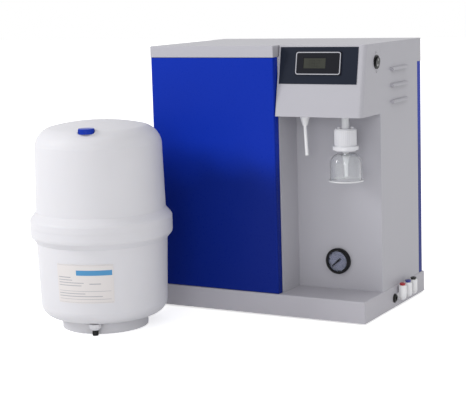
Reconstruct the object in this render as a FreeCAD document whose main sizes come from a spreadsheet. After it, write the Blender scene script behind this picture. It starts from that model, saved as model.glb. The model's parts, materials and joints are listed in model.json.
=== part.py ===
import FreeCAD, Part
import Sketcher
import math
import os
import re

# Ultrapure water system: a bench cabinet with a dispensing recess, and its storage tank.
# X runs right along the front, Y runs back, Z is up. The origin is under the middle of the whole set.

doc = FreeCAD.newDocument("water_system")
sheet = doc.addObject("Spreadsheet::Sheet", "Sizes")


# Driving dimensions in millimetres, angles in degrees
def dimension(alias, value):
    row = dimension.row
    sheet.set("A%d" % row, alias.replace("_", " "))
    sheet.set("B%d" % row, str(value))
    sheet.setAlias("B%d" % row, alias)
    dimension.row += 1


dimension.row = 1

# Cabinet
dimension("cabinet_width", 466)
dimension("cabinet_height", 540)
dimension("body_depth", 311)
dimension("base_depth", 318)
dimension("base_height", 46)
dimension("base_overhang", 2)
dimension("sheet_wall", 2)
dimension("edge_round", 3)
dimension("seam", 0.3)
dimension("foot_height", 3)
dimension("foot_radius", 14)
dimension("foot_inset", 32)
dimension("tower_width", 280.6)
dimension("panel_depth", 18)
dimension("panel_lip", 14)
dimension("band_height", 22.6)
dimension("rear_flange", 20)
dimension("rear_drop", 48)
dimension("recess_depth", 93)
dimension("head_height", 137.5)
dimension("head_setback", 26)
dimension("head_gap", 2.4)
dimension("head_bend", 9)

# Vents on the right side
dimension("louvre_length", 80)
dimension("louvre_radius", 7)
dimension("louvre_start", 148)
dimension("louvre_drop", 57)
dimension("louvre_pitch", 32.5)

# Display on the sloping head
dimension("display_inset", 4)
dimension("display_width", 165)
dimension("display_rise", 64)
dimension("display_tall", 72)
dimension("display_thick", 1)
dimension("meter_inset", 35)
dimension("meter_width", 96)
dimension("meter_rise", 17.5)
dimension("meter_tall", 45)
dimension("meter_proud", 2.5)
dimension("meter_depth", 40)
dimension("window_inset", 17)
dimension("window_width", 47)
dimension("window_rise", 12.5)
dimension("window_tall", 20)

# Rocker switch on the side of the head
dimension("switch_back", 75.8)
dimension("switch_drop", 35.7)
dimension("switch_radius", 13.5)
dimension("switch_flange", 2)
dimension("switch_bore", 11.2)
dimension("switch_barrel", 12.6)
dimension("switch_length", 16)
dimension("rocker_radius", 9.8)
dimension("rocker_half", 5)
dimension("rocker_tilt", 8)
dimension("pivot_radius", 1.5)
dimension("pivot_play", 0.05)
dimension("screw_radius", 2)
dimension("screw_offset", 18.9)

# Pressure gauge in the recess
dimension("gauge_across", 372)
dimension("gauge_up", 103.5)
dimension("gauge_radius", 26)
dimension("gauge_proud", 9)
dimension("gauge_bezel", 6)
dimension("gauge_deep", 22)
dimension("gauge_wall", 1.5)
dimension("dial_thick", 1)
dimension("dial_set", 6)
dimension("lens_thick", 1.5)
dimension("needle_long", 16)
dimension("needle_tail", 8)
dimension("needle_wide", 2.6)
dimension("needle_thick", 0.6)
dimension("arbor_radius", 1)
dimension("hub_radius", 2.6)
dimension("needle_rest", 40)

# Plain spout on the left
dimension("spout_across", 328)
dimension("spout_back", 40)
dimension("spout_nut_top", 11)
dimension("spout_nut_low", 4.8)
dimension("spout_nut_drop", 21)
dimension("spout_radius", 3.4)
dimension("spout_bore", 2.1)
dimension("spout_drop", 80)
dimension("spout_lean", 3)

# Final filter and bell on the right
dimension("outlet_across", 414.6)
dimension("outlet_back", 40)
dimension("outlet_radius", 7.5)
dimension("outlet_bore", 5)
dimension("outlet_drop", 24.5)
dimension("capsule_radius", 21.4)
dimension("capsule_tall", 44)
dimension("capsule_flange", 25.3)
dimension("flange_tall", 7)
dimension("flange_rise", 3)
dimension("stem_top", 6.8)
dimension("stem_tip", 4)
dimension("stem_bore", 2.5)
dimension("stem_grip", 12)
dimension("stem_long", 50)
dimension("bell_gap", 4)
dimension("bell_radius", 31.3)
dimension("bell_rim", 34)
dimension("bell_tall", 55)
dimension("bell_wall", 1.8)
dimension("bell_play", 0.05)
dimension("rim_tall", 2.5)

# Cable gland and tube fittings on the right of the base
dimension("gland_back", 150)
dimension("gland_up", 22)
dimension("gland_radius", 8)
dimension("gland_bore", 4)
dimension("gland_proud", 4)
dimension("gland_nut", 10)
dimension("fitting_back", 170)
dimension("fitting_pitch", 30)
dimension("fitting_up", 23)
dimension("fitting_reach", 9.5)
dimension("fitting_radius", 8)
dimension("fitting_rise", 22.5)
dimension("shank_radius", 5)
dimension("tube_radius", 3.2)
dimension("collet_radius", 5)
dimension("collet_head", 6)
dimension("collet_proud", 4.5)
dimension("collet_rim", 2.5)
dimension("collet_deep", 9)
dimension("collet_play", 0.05)

# Inside the cabinet
dimension("board_back", 170)
dimension("board_thick", 3)
dimension("board_margin", 12)
dimension("membrane_radius", 25)
dimension("membrane_long", 300)
dimension("filter_radius", 27)
dimension("filter_long", 250)
dimension("filter_pitch", 64)
dimension("clip_wall", 3)
dimension("clip_tall", 20)
dimension("stand_off", 6)
dimension("pump_radius", 30)
dimension("pump_long", 90)
dimension("pump_head_long", 45)
dimension("cartridge_radius", 38)
dimension("cartridge_tall", 280)
dimension("cartridge_gap", 6)
dimension("supply_width", 100)
dimension("supply_tall", 85)
dimension("supply_deep", 38)
dimension("circuit_width", 110)
dimension("circuit_tall", 80)
dimension("valve_size", 30)

# Storage tank
dimension("tank_across", -16.2)
dimension("tank_back", -176)
dimension("tank_wall", 4)
dimension("tank_foot_radius", 84.8)
dimension("tank_foot_tall", 24)
dimension("tank_foot_wall", 8)
dimension("tank_heel_start", 98)
dimension("tank_heel", 124.5)
dimension("tank_heel_rise", 48)
dimension("tank_heel_round", 27)
dimension("tank_low_top", 128.5)
dimension("tank_low_rise", 172)
dimension("belt_radius", 139.4)
dimension("belt_low", 184)
dimension("belt_seam", 203)
dimension("belt_top", 220)
dimension("belt_slope", 12)
dimension("tank_high_low", 127.2)
dimension("tank_high_top", 123.9)
dimension("tank_shoulder_rise", 361)
dimension("tank_crown_radius", 96)
dimension("tank_crown_rise", 395)
dimension("tank_shoulder_round", 44)
dimension("tank_apex", 406)
dimension("tank_crown_round", 380)
dimension("air_cap_out", 97)
dimension("air_cap_turn", -68)
dimension("air_seat_drop", 5)
dimension("air_pocket_play", 1.5)
dimension("air_pocket_wall", 3)
dimension("air_floor", 9)
dimension("air_cap_radius", 15)
dimension("air_cap_tall", 10)
dimension("air_cap_wall", 2.5)
dimension("air_stem_radius", 6)
dimension("air_stem_tall", 6.5)
dimension("outlet_turn", -67.5)
dimension("outlet_reach", 98)
dimension("outlet_body_radius", 12)
dimension("outlet_body_tall", 12)
dimension("outlet_dome", 5)
dimension("knob_radius", 5.4)
dimension("knob_tall", 10.5)
dimension("knob_pin", 2)
dimension("label_turn", -47)
dimension("label_span", 51.5)
dimension("label_low", 70)
dimension("label_tall", 75)
dimension("label_thick", 0.5)
doc.recompute()


# Formula text whose names are the sheet's dimensions
def linked(formula):
    functions = {"sin", "cos", "tan", "atan", "sqrt", "deg"}

    def name(match):
        word = match.group(0)
        return word if word in functions else "Sizes." + word

    return re.sub(r"[a-z][a-z_]+", name, str(formula))


def number(formula):
    found = sheet.evalExpression(linked(formula))
    return float(getattr(found, "Value", found))


# Places that several pieces share
head_left = "(tower_width + head_gap)"
head_low = "(cabinet_height - head_height)"
slope = "atan(head_setback / head_height)"
band_low = "(cabinet_height - band_height)"
rear_top = "(cabinet_height - rear_drop)"
switch_up = "(cabinet_height - switch_drop)"
side_back = "(body_depth - rear_flange - seam)"
base_right = "(cabinet_width + base_overhang)"
floor_top = "(foot_height + sheet_wall)"
fitting_across = "(cabinet_width + base_overhang + fitting_reach)"
left_end = "(tank_across - belt_radius)"
right_end = "(cabinet_width + base_overhang + fitting_reach + fitting_radius)"
front_end = "(tank_back - belt_radius)"
origin_shift = {
    "x": "(%s + %s) / 2" % (left_end, right_end),
    "y": "(%s + base_depth) / 2" % front_end,
    "z": "0",
}
TURNS = {
    "x": FreeCAD.Rotation(FreeCAD.Vector(0, 1, 0), 90),
    "y": FreeCAD.Rotation(FreeCAD.Vector(1, 0, 0), -90),
    "-y": FreeCAD.Rotation(FreeCAD.Vector(1, 0, 0), 90),
    "-z": FreeCAD.Rotation(FreeCAD.Vector(1, 0, 0), 180),
    "z": FreeCAD.Rotation(),
}
nodes = {}


def place(piece, spot):
    for axis, formula in zip("xyz", spot):
        moved = "(%s) - (%s)" % (formula, origin_shift[axis])
        piece.setExpression("Placement.Base." + axis, linked(moved))


def keep(name, piece):
    piece.Label = name
    nodes[name] = piece
    return piece


def box(name, low, high):
    piece = doc.addObject("Part::Box", name)
    for side, start, end in zip(("Length", "Width", "Height"), low, high):
        piece.setExpression(side, linked("(%s) - (%s)" % (end, start)))
    place(piece, low)
    return piece


def rod(name, radius, start, axis, length):
    piece = doc.addObject("Part::Cylinder", name)
    piece.setExpression("Radius", linked(radius))
    piece.setExpression("Height", linked(length))
    piece.Placement.Rotation = TURNS[axis]
    place(piece, start)
    return piece


def cone(name, radius, end_radius, start, axis, length):
    piece = doc.addObject("Part::Cone", name)
    piece.setExpression("Radius1", linked(radius))
    piece.setExpression("Radius2", linked(end_radius))
    piece.setExpression("Height", linked(length))
    piece.Placement.Rotation = TURNS[axis]
    place(piece, start)
    return piece


def joined(name, *pieces):
    piece = doc.addObject("Part::MultiFuse", name)
    piece.Shapes = list(pieces)
    piece.Refine = True
    return piece


def less(name, base, *tools):
    piece = doc.addObject("Part::Cut", name)
    piece.Base = base
    piece.Tool = tools[0] if len(tools) == 1 else joined(name + "_tools", *tools)
    return piece


# A fillet on the edges that a test picks by their two end points
def rounded(name, base, radius, test):
    doc.recompute()
    size = number(radius)
    picked = []
    for index, edge in enumerate(base.Shape.Edges):
        ends = [vertex.Point for vertex in edge.Vertexes]
        if len(ends) == 2 and test(ends[0], ends[1]):
            picked.append((index + 1, size, size))
    piece = doc.addObject("Part::Fillet", name)
    piece.Base = base
    piece.Edges = picked
    return piece


# A closed outline of corners, with an arc of a given radius after a corner that states one
def outline(body, name, role, corners):
    sketch = body.newObject("Sketcher::SketchObject", name)
    plane = [item for item in body.Origin.OriginFeatures if item.Role == role][0]
    sketch.AttachmentSupport = [(plane, "")]
    sketch.MapMode = "FlatFace"
    points = [FreeCAD.Vector(number(corner[0]), number(corner[1]), 0) for corner in corners]
    count = len(points)
    for index, corner in enumerate(corners):
        start = points[index]
        end = points[(index + 1) % count]
        if len(corner) == 2:
            sketch.addGeometry(Part.LineSegment(start, end), False)
            continue
        radius = number(corner[2])
        chord = end - start
        half = chord.Length / 2
        rise = abs(radius) - math.sqrt(radius * radius - half * half)
        across = FreeCAD.Vector(chord.y, -chord.x, 0).normalize()
        middle = (start + end) / 2 + across * math.copysign(rise, radius)
        sketch.addGeometry(Part.Arc(start, middle, end), False)
    # An arc always runs anticlockwise, so its first point may be the outline's second
    firsts = []
    for index in range(count):
        here = sketch.getPoint(index, 1)
        firsts.append(1 if (here - points[index]).Length < 0.0001 else 2)
    for index, corner in enumerate(corners):
        after = (index + 1) % count
        last = 3 - firsts[index]
        sketch.addConstraint(Sketcher.Constraint("Coincident", index, last, after, firsts[after]))
    for index, corner in enumerate(corners):
        for kind, axis, formula, value in (
            ("DistanceX", -2, corner[0], points[index].x),
            ("DistanceY", -1, corner[1], points[index].y),
        ):
            if abs(value) < 0.0000001:
                pin = Sketcher.Constraint("PointOnObject", index, firsts[index], axis)
                sketch.addConstraint(pin)
                continue
            tie = Sketcher.Constraint(kind, -1, 1, index, firsts[index], value)
            row = sketch.addConstraint(tie)
            sketch.setExpression("Constraints[%d]" % row, linked(formula))
        if len(corner) == 3:
            tie = Sketcher.Constraint("Radius", index, abs(number(corner[2])))
            row = sketch.addConstraint(tie)
            bend = linked("abs(%s)" % corner[2]).replace("Sizes.abs", "abs")
            sketch.setExpression("Constraints[%d]" % row, bend)
    return sketch


def turned(name, corners, spot, axis="z", angle=360):
    body = doc.addObject("PartDesign::Body", name)
    sketch = outline(body, name + "_outline", "XZ_Plane", corners)
    solid = body.newObject("PartDesign::Revolution", name + "_turn")
    solid.Profile = sketch
    solid.ReferenceAxis = (sketch, ["V_Axis"])
    solid.Angle = angle
    body.Placement.Rotation = TURNS[axis]
    place(body, spot)
    return body


def extruded(name, corners, start, length):
    body = doc.addObject("PartDesign::Body", name)
    sketch = outline(body, name + "_outline", "YZ_Plane", corners)
    solid = body.newObject("PartDesign::Pad", name + "_pad")
    solid.Profile = sketch
    solid.setExpression("Length", linked(length))
    place(body, (start, "0", "0"))
    return body


# Base

def base_parts():
    block = box("base_block", ("0", "0", floor_top), (base_right, "base_depth", "base_height"))

    def top_or_upright(one, other):
        upright = abs(one.z - other.z) > 1
        return upright or one.z > number("base_height") - 0.01

    shell = rounded("base_shell", block, "edge_round", top_or_upright)
    hollow = box(
        "base_hollow",
        ("sheet_wall", "sheet_wall", floor_top),
        (base_right + " - sheet_wall", "base_depth - sheet_wall", "base_height - sheet_wall"),
    )
    wall = base_right + " - 2 * sheet_wall"
    holes = [rod("gland_hole", "gland_radius", (wall, "gland_back", "gland_up"), "x", "4 * sheet_wall")]
    for index in range(3):
        spot = (wall, "fitting_back + %d * fitting_pitch" % index, "fitting_up")
        holes.append(rod("fitting_hole_%d" % (index + 1), "shank_radius", spot, "x", "4 * sheet_wall"))
    keep("base_tray", less("base_tray_cut", shell, hollow, *holes))
    plate = box("base_floor_plate", ("0", "0", "foot_height"), (base_right, "base_depth", floor_top))
    keep("base_floor", plate)
    across = ("foot_inset", base_right + " - foot_inset")
    along = ("foot_inset", "base_depth - foot_inset")
    spots = [(x, y, "0") for x in across for y in along]
    for index, spot in enumerate(spots):
        name = "foot_%d" % (index + 1)
        keep(name, rod(name + "_disc", "foot_radius", spot, "z", "foot_height"))


# Cabinet sheets

def side_panels():
    front = "(panel_depth + seam)"
    notch = rear_top + " + seam"
    wall = box("left_wall", ("0", front, "base_height"), ("sheet_wall", side_back, band_low))
    corner = box("left_corner", ("0", side_back, notch), ("sheet_wall", "body_depth", band_low))
    lip = box("left_lip", ("0", front, "base_height"), ("panel_lip", front + " + sheet_wall", band_low))
    keep("left_side_panel", joined("left_panel_join", wall, corner, lip))
    inner = "cabinet_width - sheet_wall"
    wall = box("right_wall", (inner, "recess_depth", "base_height"), ("cabinet_width", side_back, band_low))
    corner = box("right_corner", (inner, side_back, notch), ("cabinet_width", "body_depth", band_low))
    hoods = []
    slots = []
    for index in range(3):
        low = "cabinet_height - louvre_drop - %d * louvre_pitch" % (2 - index)
        hoods.append(louvre("louvre_%d" % (index + 1), low))
        slots.append(box(
            "louvre_slot_%d" % (index + 1),
            (inner + " - 1", "louvre_start + sheet_wall", low),
            ("cabinet_width + 1", "louvre_start + louvre_length - sheet_wall",
             low + " + louvre_radius - sheet_wall"),
        ))
    plain = less("right_panel_cut", joined("right_panel_plain", wall, corner), *slots)
    keep("right_side_panel", joined("right_panel_join", plain, *hoods))


def louvre(name, low):
    start = ("cabinet_width", "louvre_start", low)
    inner_start = ("cabinet_width", "louvre_start + sheet_wall", low)
    end = "louvre_start + louvre_length"
    reach = "cabinet_width + louvre_radius"
    outside = rod(name + "_outside", "louvre_radius", start, "y", "louvre_length")
    inside = rod(name + "_inside", "louvre_radius - 1.2", inner_start, "y", "louvre_length - 2 * sheet_wall")
    behind = box(
        name + "_behind",
        ("cabinet_width - 2 * louvre_radius", "louvre_start - 1", low + " - 2 * louvre_radius"),
        ("cabinet_width", end + " + 1", low + " + 2 * louvre_radius"),
    )
    below = box(
        name + "_below",
        ("cabinet_width - 1", "louvre_start - 1", low + " - 2 * louvre_radius"),
        (reach + " + 1", end + " + 1", low),
    )
    return less(name + "_hood", outside, inside, behind, below)


def front_panel():
    low = ("0", "0", "base_height + seam")
    high = ("tower_width", "panel_depth", band_low + " - seam")
    block = box("front_panel_block", low, high)

    def on_front(one, other):
        front = number("-(%s)" % origin_shift["y"])
        return one.y < front + 0.01 and other.y < front + 0.01

    shell = rounded("front_panel_shell", block, "edge_round", on_front)
    hollow = box(
        "front_panel_hollow",
        ("sheet_wall", "sheet_wall", "base_height + seam + sheet_wall"),
        ("tower_width - sheet_wall", "panel_depth", band_low + " - seam - sheet_wall"),
    )
    keep("front_panel", less("front_panel_cut", shell, hollow))


def rear_cover():
    block = box("rear_block", ("0", "body_depth - rear_flange", "base_height + seam"),
                ("cabinet_width", "body_depth", rear_top))

    def upright_back(one, other):
        back = number("body_depth - (%s)" % origin_shift["y"])
        return abs(one.z - other.z) > 1 and one.y > back - 0.01

    shell = rounded("rear_shell", block, "edge_round", upright_back)
    hollow = box(
        "rear_hollow",
        ("sheet_wall", "body_depth - rear_flange", "base_height + seam + sheet_wall"),
        ("cabinet_width - sheet_wall", "body_depth - sheet_wall", rear_top + " - sheet_wall"),
    )
    keep("rear_cover", less("rear_cut", shell, hollow))


def top_cover():
    left = box("top_left", ("0", "0", band_low), ("tower_width", "body_depth", "cabinet_height"))
    right = box("top_right", ("tower_width", "recess_depth + seam", band_low),
                ("cabinet_width", "body_depth", "cabinet_height"))

    def upper(one, other):
        return min(one.z, other.z) > number("cabinet_height") - 0.01

    block = joined("top_block", left, right)
    shell = rounded("top_shell", block, "edge_round / 2", upper)
    ceiling = "cabinet_height - sheet_wall"
    under_left = box("top_under_left", ("sheet_wall", "sheet_wall", band_low),
                     ("tower_width - sheet_wall", "body_depth - sheet_wall", ceiling))
    under_right = box(
        "top_under_right",
        ("tower_width - 2 * sheet_wall", "recess_depth + seam + sheet_wall", band_low),
        ("cabinet_width - sheet_wall", "body_depth - sheet_wall", ceiling),
    )
    skirt = box("top_skirt", ("sheet_wall", "body_depth - sheet_wall", rear_top + " + seam"),
                ("cabinet_width - sheet_wall", "body_depth", band_low))
    keep("top_cover", joined("top_join", less("top_cut", shell, under_left, under_right), skirt))


def recess_liner():
    wall_left = head_left + " - sheet_wall"
    side = box("liner_side", (wall_left, "panel_depth + seam", "base_height"),
               (head_left, "recess_depth + sheet_wall", band_low))
    back = box("liner_back", (wall_left, "recess_depth", "base_height"),
               ("cabinet_width - sheet_wall", "recess_depth + sheet_wall", band_low))
    window = box("liner_window", (head_left + " + panel_lip", "recess_depth - 1", head_low + " + panel_lip"),
                 ("cabinet_width - 2 * panel_lip", "recess_depth + 2 * sheet_wall", band_low + " - panel_lip"))
    hole = rod("gauge_hole", "gauge_radius - gauge_bezel + 0.2",
               ("gauge_across", "recess_depth - 1", "gauge_up"), "y", "2 * sheet_wall")
    keep("recess_liner", less("liner_cut", joined("liner_join", side, back), window, hole))


# Head with its sloping face

def head_shell():
    top = "cabinet_height"
    outer = extruded("head_outer", [("0", head_low), ("head_setback", top), ("recess_depth", top),
                                    ("recess_depth", head_low)],
                     head_left, "cabinet_width - " + head_left)

    def bent_corner(one, other):
        right = number("cabinet_width - (%s)" % origin_shift["x"])
        front = number("head_setback - (%s)" % origin_shift["y"])
        tall = abs(one.z - other.z) > 1
        return tall and min(one.x, other.x) > right - 0.01 and max(one.y, other.y) < front + 0.01

    bent = rounded("head_bent", outer, "head_bend", bent_corner)
    step = "(sheet_wall / cos(%s))" % slope
    inner_low = head_low + " + sheet_wall"
    inner_top = "cabinet_height - sheet_wall"
    near = "sheet_wall * tan(%s) + %s" % (slope, step)
    far = "(head_height - sheet_wall) * tan(%s) + %s" % (slope, step)
    inner = extruded("head_inner", [(near, inner_low), (far, inner_top), ("recess_depth + 1", inner_top),
                                    ("recess_depth + 1", inner_low)],
                     head_left + " + sheet_wall", "cabinet_width - 2 * sheet_wall - " + head_left)

    def inner_corner(one, other):
        right = number("cabinet_width - sheet_wall - (%s)" % origin_shift["x"])
        front = number("head_setback + 2 * sheet_wall - (%s)" % origin_shift["y"])
        tall = abs(one.z - other.z) > 1
        return tall and min(one.x, other.x) > right - 0.01 and max(one.y, other.y) < front

    inner = rounded("head_inner_bent", inner, "head_bend - sheet_wall", inner_corner)
    meter_hole = on_slope("meter_hole", "meter_left + 4", "meter_left + meter_width - 4",
                          "meter_low + 4", "meter_low + meter_tall - 4", "-3 * sheet_wall", "2 * sheet_wall")
    spout_hole = rod("spout_hole", "spout_nut_low", ("spout_across", "spout_back", head_low + " - 1"),
                     "z", "2 * sheet_wall")
    outlet_hole = rod("outlet_hole", "outlet_radius", ("outlet_across", "outlet_back", head_low + " - 1"),
                      "z", "2 * sheet_wall")
    switch_hole = rod("switch_hole", "switch_barrel",
                      ("cabinet_width - 2 * sheet_wall", "switch_back", switch_up), "x", "4 * sheet_wall")
    keep("head_shell", less("head_cut", bent, inner, meter_hole, spout_hole, outlet_hole, switch_hole))


# A box that lies on the sloping face: across, up the slope and out from it
def on_slope(name, left, right, low, high, inside, outside):
    words = {"meter_left": "(%s + display_inset + meter_inset)" % head_left,
             "meter_low": "(display_rise + meter_rise)",
             "display_left": "(%s + display_inset)" % head_left}

    def full(formula):
        for word, meaning in words.items():
            formula = formula.replace(word, meaning)
        return formula

    left, right, low, high = full(left), full(right), full(low), full(high)
    piece = doc.addObject("Part::Box", name)
    piece.setExpression("Length", linked("(%s) - (%s)" % (right, left)))
    piece.setExpression("Width", linked("(%s) - (%s)" % (outside, inside)))
    piece.setExpression("Height", linked("(%s) - (%s)" % (high, low)))
    piece.Placement.Rotation = FreeCAD.Rotation(FreeCAD.Vector(1, 0, 0), -number(slope))
    spot = (
        left,
        "(%s) * sin(%s) - (%s) * cos(%s)" % (low, slope, outside, slope),
        "%s + (%s) * cos(%s) + (%s) * sin(%s)" % (head_low, low, slope, outside, slope),
    )
    place(piece, spot)
    return piece


def display_parts():
    plate = on_slope("display_sheet", "display_left", "display_left + display_width",
                     "display_rise", "display_rise + display_tall", "0", "display_thick")
    opening = on_slope("display_opening", "meter_left + 4", "meter_left + meter_width - 4",
                       "meter_low + 4", "meter_low + meter_tall - 4", "-1", "display_thick + 1")
    keep("display_plate", less("display_cut", plate, opening))
    flange = on_slope("meter_flange", "meter_left", "meter_left + meter_width",
                      "meter_low", "meter_low + meter_tall", "display_thick", "display_thick + meter_proud")
    case = on_slope("meter_case", "meter_left + 4 + seam", "meter_left + meter_width - 4 - seam",
                    "meter_low + 4 + seam", "meter_low + meter_tall - 4 - seam",
                    "-meter_depth", "display_thick + meter_proud")
    pocket = on_slope("meter_pocket", "meter_left + window_inset", "meter_left + window_inset + window_width",
                      "meter_low + window_rise", "meter_low + window_rise + window_tall",
                      "display_thick + meter_proud - 1.5", "display_thick + meter_proud + 1")
    keep("meter_housing", less("meter_cut", joined("meter_join", flange, case), pocket))
    keep("meter_window", on_slope("meter_glass", "meter_left + window_inset + 0.2",
                                  "meter_left + window_inset + window_width - 0.2",
                                  "meter_low + window_rise + 0.2", "meter_low + window_rise + window_tall - 0.2",
                                  "display_thick + meter_proud - 1.5", "display_thick + meter_proud - 0.4"))


def switch_parts():
    spot = ("cabinet_width", "switch_back", switch_up)
    back = ("cabinet_width - switch_length", "switch_back", switch_up)
    flange = rod("switch_flange_disc", "switch_radius", spot, "x", "switch_flange")
    barrel = rod("switch_barrel_rod", "switch_barrel - 0.1", back, "x", "switch_length")
    bore = rod("switch_bore_rod", "switch_bore", ("cabinet_width - switch_length + sheet_wall",
                                                  "switch_back", switch_up), "x", "2 * switch_length")
    pins = rod("switch_pin_hole", "pivot_radius + pivot_play",
               ("cabinet_width - 1", "switch_back - switch_barrel - 1", switch_up), "y", "2 * switch_barrel + 2")
    keep("switch_bezel", less("switch_cut", joined("switch_join", flange, barrel), bore, pins))
    disc = rod("rocker_disc", "rocker_radius",
               ("cabinet_width - 1 - rocker_half * cos(rocker_tilt)", "switch_back",
                switch_up + " + rocker_half * sin(rocker_tilt)"), "x", "2 * rocker_half")
    disc.Placement.Rotation = FreeCAD.Rotation(FreeCAD.Vector(0, 1, 0), 90 + number("rocker_tilt"))
    pivot = rod("rocker_pivot", "pivot_radius",
                ("cabinet_width - 1", "switch_back - switch_barrel + 0.4", switch_up), "y",
                "2 * switch_barrel - 0.8")
    keep("switch_rocker", joined("rocker_join", disc, pivot))
    for name, side in (("switch_screw_1", "screw_offset"), ("switch_screw_2", "-screw_offset")):
        keep(name, rod(name + "_head", "screw_radius", ("cabinet_width", "switch_back", switch_up + " + " + side),
                       "x", "1.2"))


def gauge_parts():
    spot = ("gauge_across", "recess_depth", "gauge_up")
    rim = "gauge_radius - gauge_wall"
    neck = "gauge_radius - gauge_bezel"
    keep("gauge_case", turned("gauge_case_body", [
        ("arbor_radius + pivot_play", "gauge_proud - dial_set - dial_thick - 3"),
        ("arbor_radius + pivot_play", "-gauge_deep + gauge_wall"),
        ("0", "-gauge_deep + gauge_wall"),
        ("0", "-gauge_deep"),
        (neck, "-gauge_deep"),
        (neck, "0"),
        ("gauge_radius", "0"),
        ("gauge_radius", "gauge_proud - 1.5"),
        ("gauge_radius - 1.5", "gauge_proud"),
        ("gauge_radius - gauge_bezel + 0.5", "gauge_proud"),
        ("gauge_radius - gauge_bezel + 0.5", "gauge_proud - lens_thick"),
        (rim, "gauge_proud - lens_thick"),
        (rim, "gauge_proud - dial_set"),
        (neck + " - gauge_wall", "gauge_proud - dial_set"),
        (neck + " - gauge_wall", "gauge_proud - dial_set - dial_thick - 3"),
    ], spot, "-y"))
    keep("gauge_dial", turned("gauge_dial_body", [
        ("arbor_radius + 0.5", "gauge_proud - dial_set"),
        ("arbor_radius + 0.5", "gauge_proud - dial_set + dial_thick"),
        (rim + " - 0.1", "gauge_proud - dial_set + dial_thick"),
        (rim + " - 0.1", "gauge_proud - dial_set"),
    ], spot, "-y"))
    face = "recess_depth - gauge_proud"
    keep("gauge_lens", rod("gauge_lens_disc", rim + " - 0.1",
                           ("gauge_across", face + " + lens_thick", "gauge_up"), "y", "lens_thick - 0.3"))
    level = face + " + dial_set - dial_thick - 1.6"
    pointer = doc.addObject("Part::Box", "needle_pointer")
    pointer.setExpression("Length", linked("needle_long + needle_tail"))
    pointer.setExpression("Width", linked("needle_thick"))
    pointer.setExpression("Height", linked("needle_wide"))
    turn = "(180 + needle_rest)"
    pointer.Placement.Rotation = FreeCAD.Rotation(FreeCAD.Vector(0, 1, 0), -number(turn))
    place(pointer, (
        "gauge_across - needle_tail * cos(1 deg * {0}) + needle_wide / 2 * sin(1 deg * {0})".format(turn),
        level,
        "gauge_up - needle_tail * sin(1 deg * {0}) - needle_wide / 2 * cos(1 deg * {0})".format(turn),
    ))
    hub = rod("needle_hub", "hub_radius", ("gauge_across", level + " - 0.4", "gauge_up"), "y", "needle_thick + 0.8")
    arbor = rod("needle_arbor", "arbor_radius", ("gauge_across", level, "gauge_up"), "y",
                "gauge_deep + gauge_proud - dial_set")
    keep("gauge_needle", joined("needle_join", pointer, hub, arbor))


# Plain spout

def spout_parts():
    top = ("spout_across", "spout_back", head_low)
    funnel = cone("spout_funnel", "spout_nut_top", "spout_nut_low", top, "-z", "spout_nut_drop")
    shank = rod("spout_shank", "spout_nut_low - 0.1", top, "z", "panel_lip")
    foot = ("spout_across", "spout_back", head_low + " - spout_nut_drop - 1")
    bore = rod("spout_nut_bore", "spout_radius + 0.1", foot, "z", "spout_nut_drop + panel_lip + 2")
    keep("spout_nut", less("spout_nut_cut", joined("spout_nut_join", funnel, shank), bore))
    grip = "spout_nut_drop"
    upper_start = ("spout_across", "spout_back", head_low + " - " + grip)
    outer_top = rod("spout_tube_top", "spout_radius", upper_start, "z", grip + " + panel_lip")
    lower = []
    rows = [("spout_tube_low", "spout_radius", 0), ("spout_tube_bore_low", "spout_bore", 1)]
    for name, radius, extra in rows:
        piece = rod(name, radius, upper_start, "-z", "spout_drop - %s + %d" % (grip, extra))
        piece.Placement.Rotation = FreeCAD.Rotation(FreeCAD.Vector(0, 1, 0), 180 - number("spout_lean"))
        lower.append(piece)
    knee = doc.addObject("Part::Sphere", "spout_knee")
    knee.setExpression("Radius", linked("spout_radius"))
    place(knee, upper_start)
    bore_top = rod("spout_tube_bore_top", "spout_bore", upper_start, "z", grip + " + panel_lip + 1")
    keep("spout_tube", less("spout_tube_cut", joined("spout_tube_join", outer_top, lower[0], knee),
                            bore_top, lower[1]))


# Final filter, its stem and the bell

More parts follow.
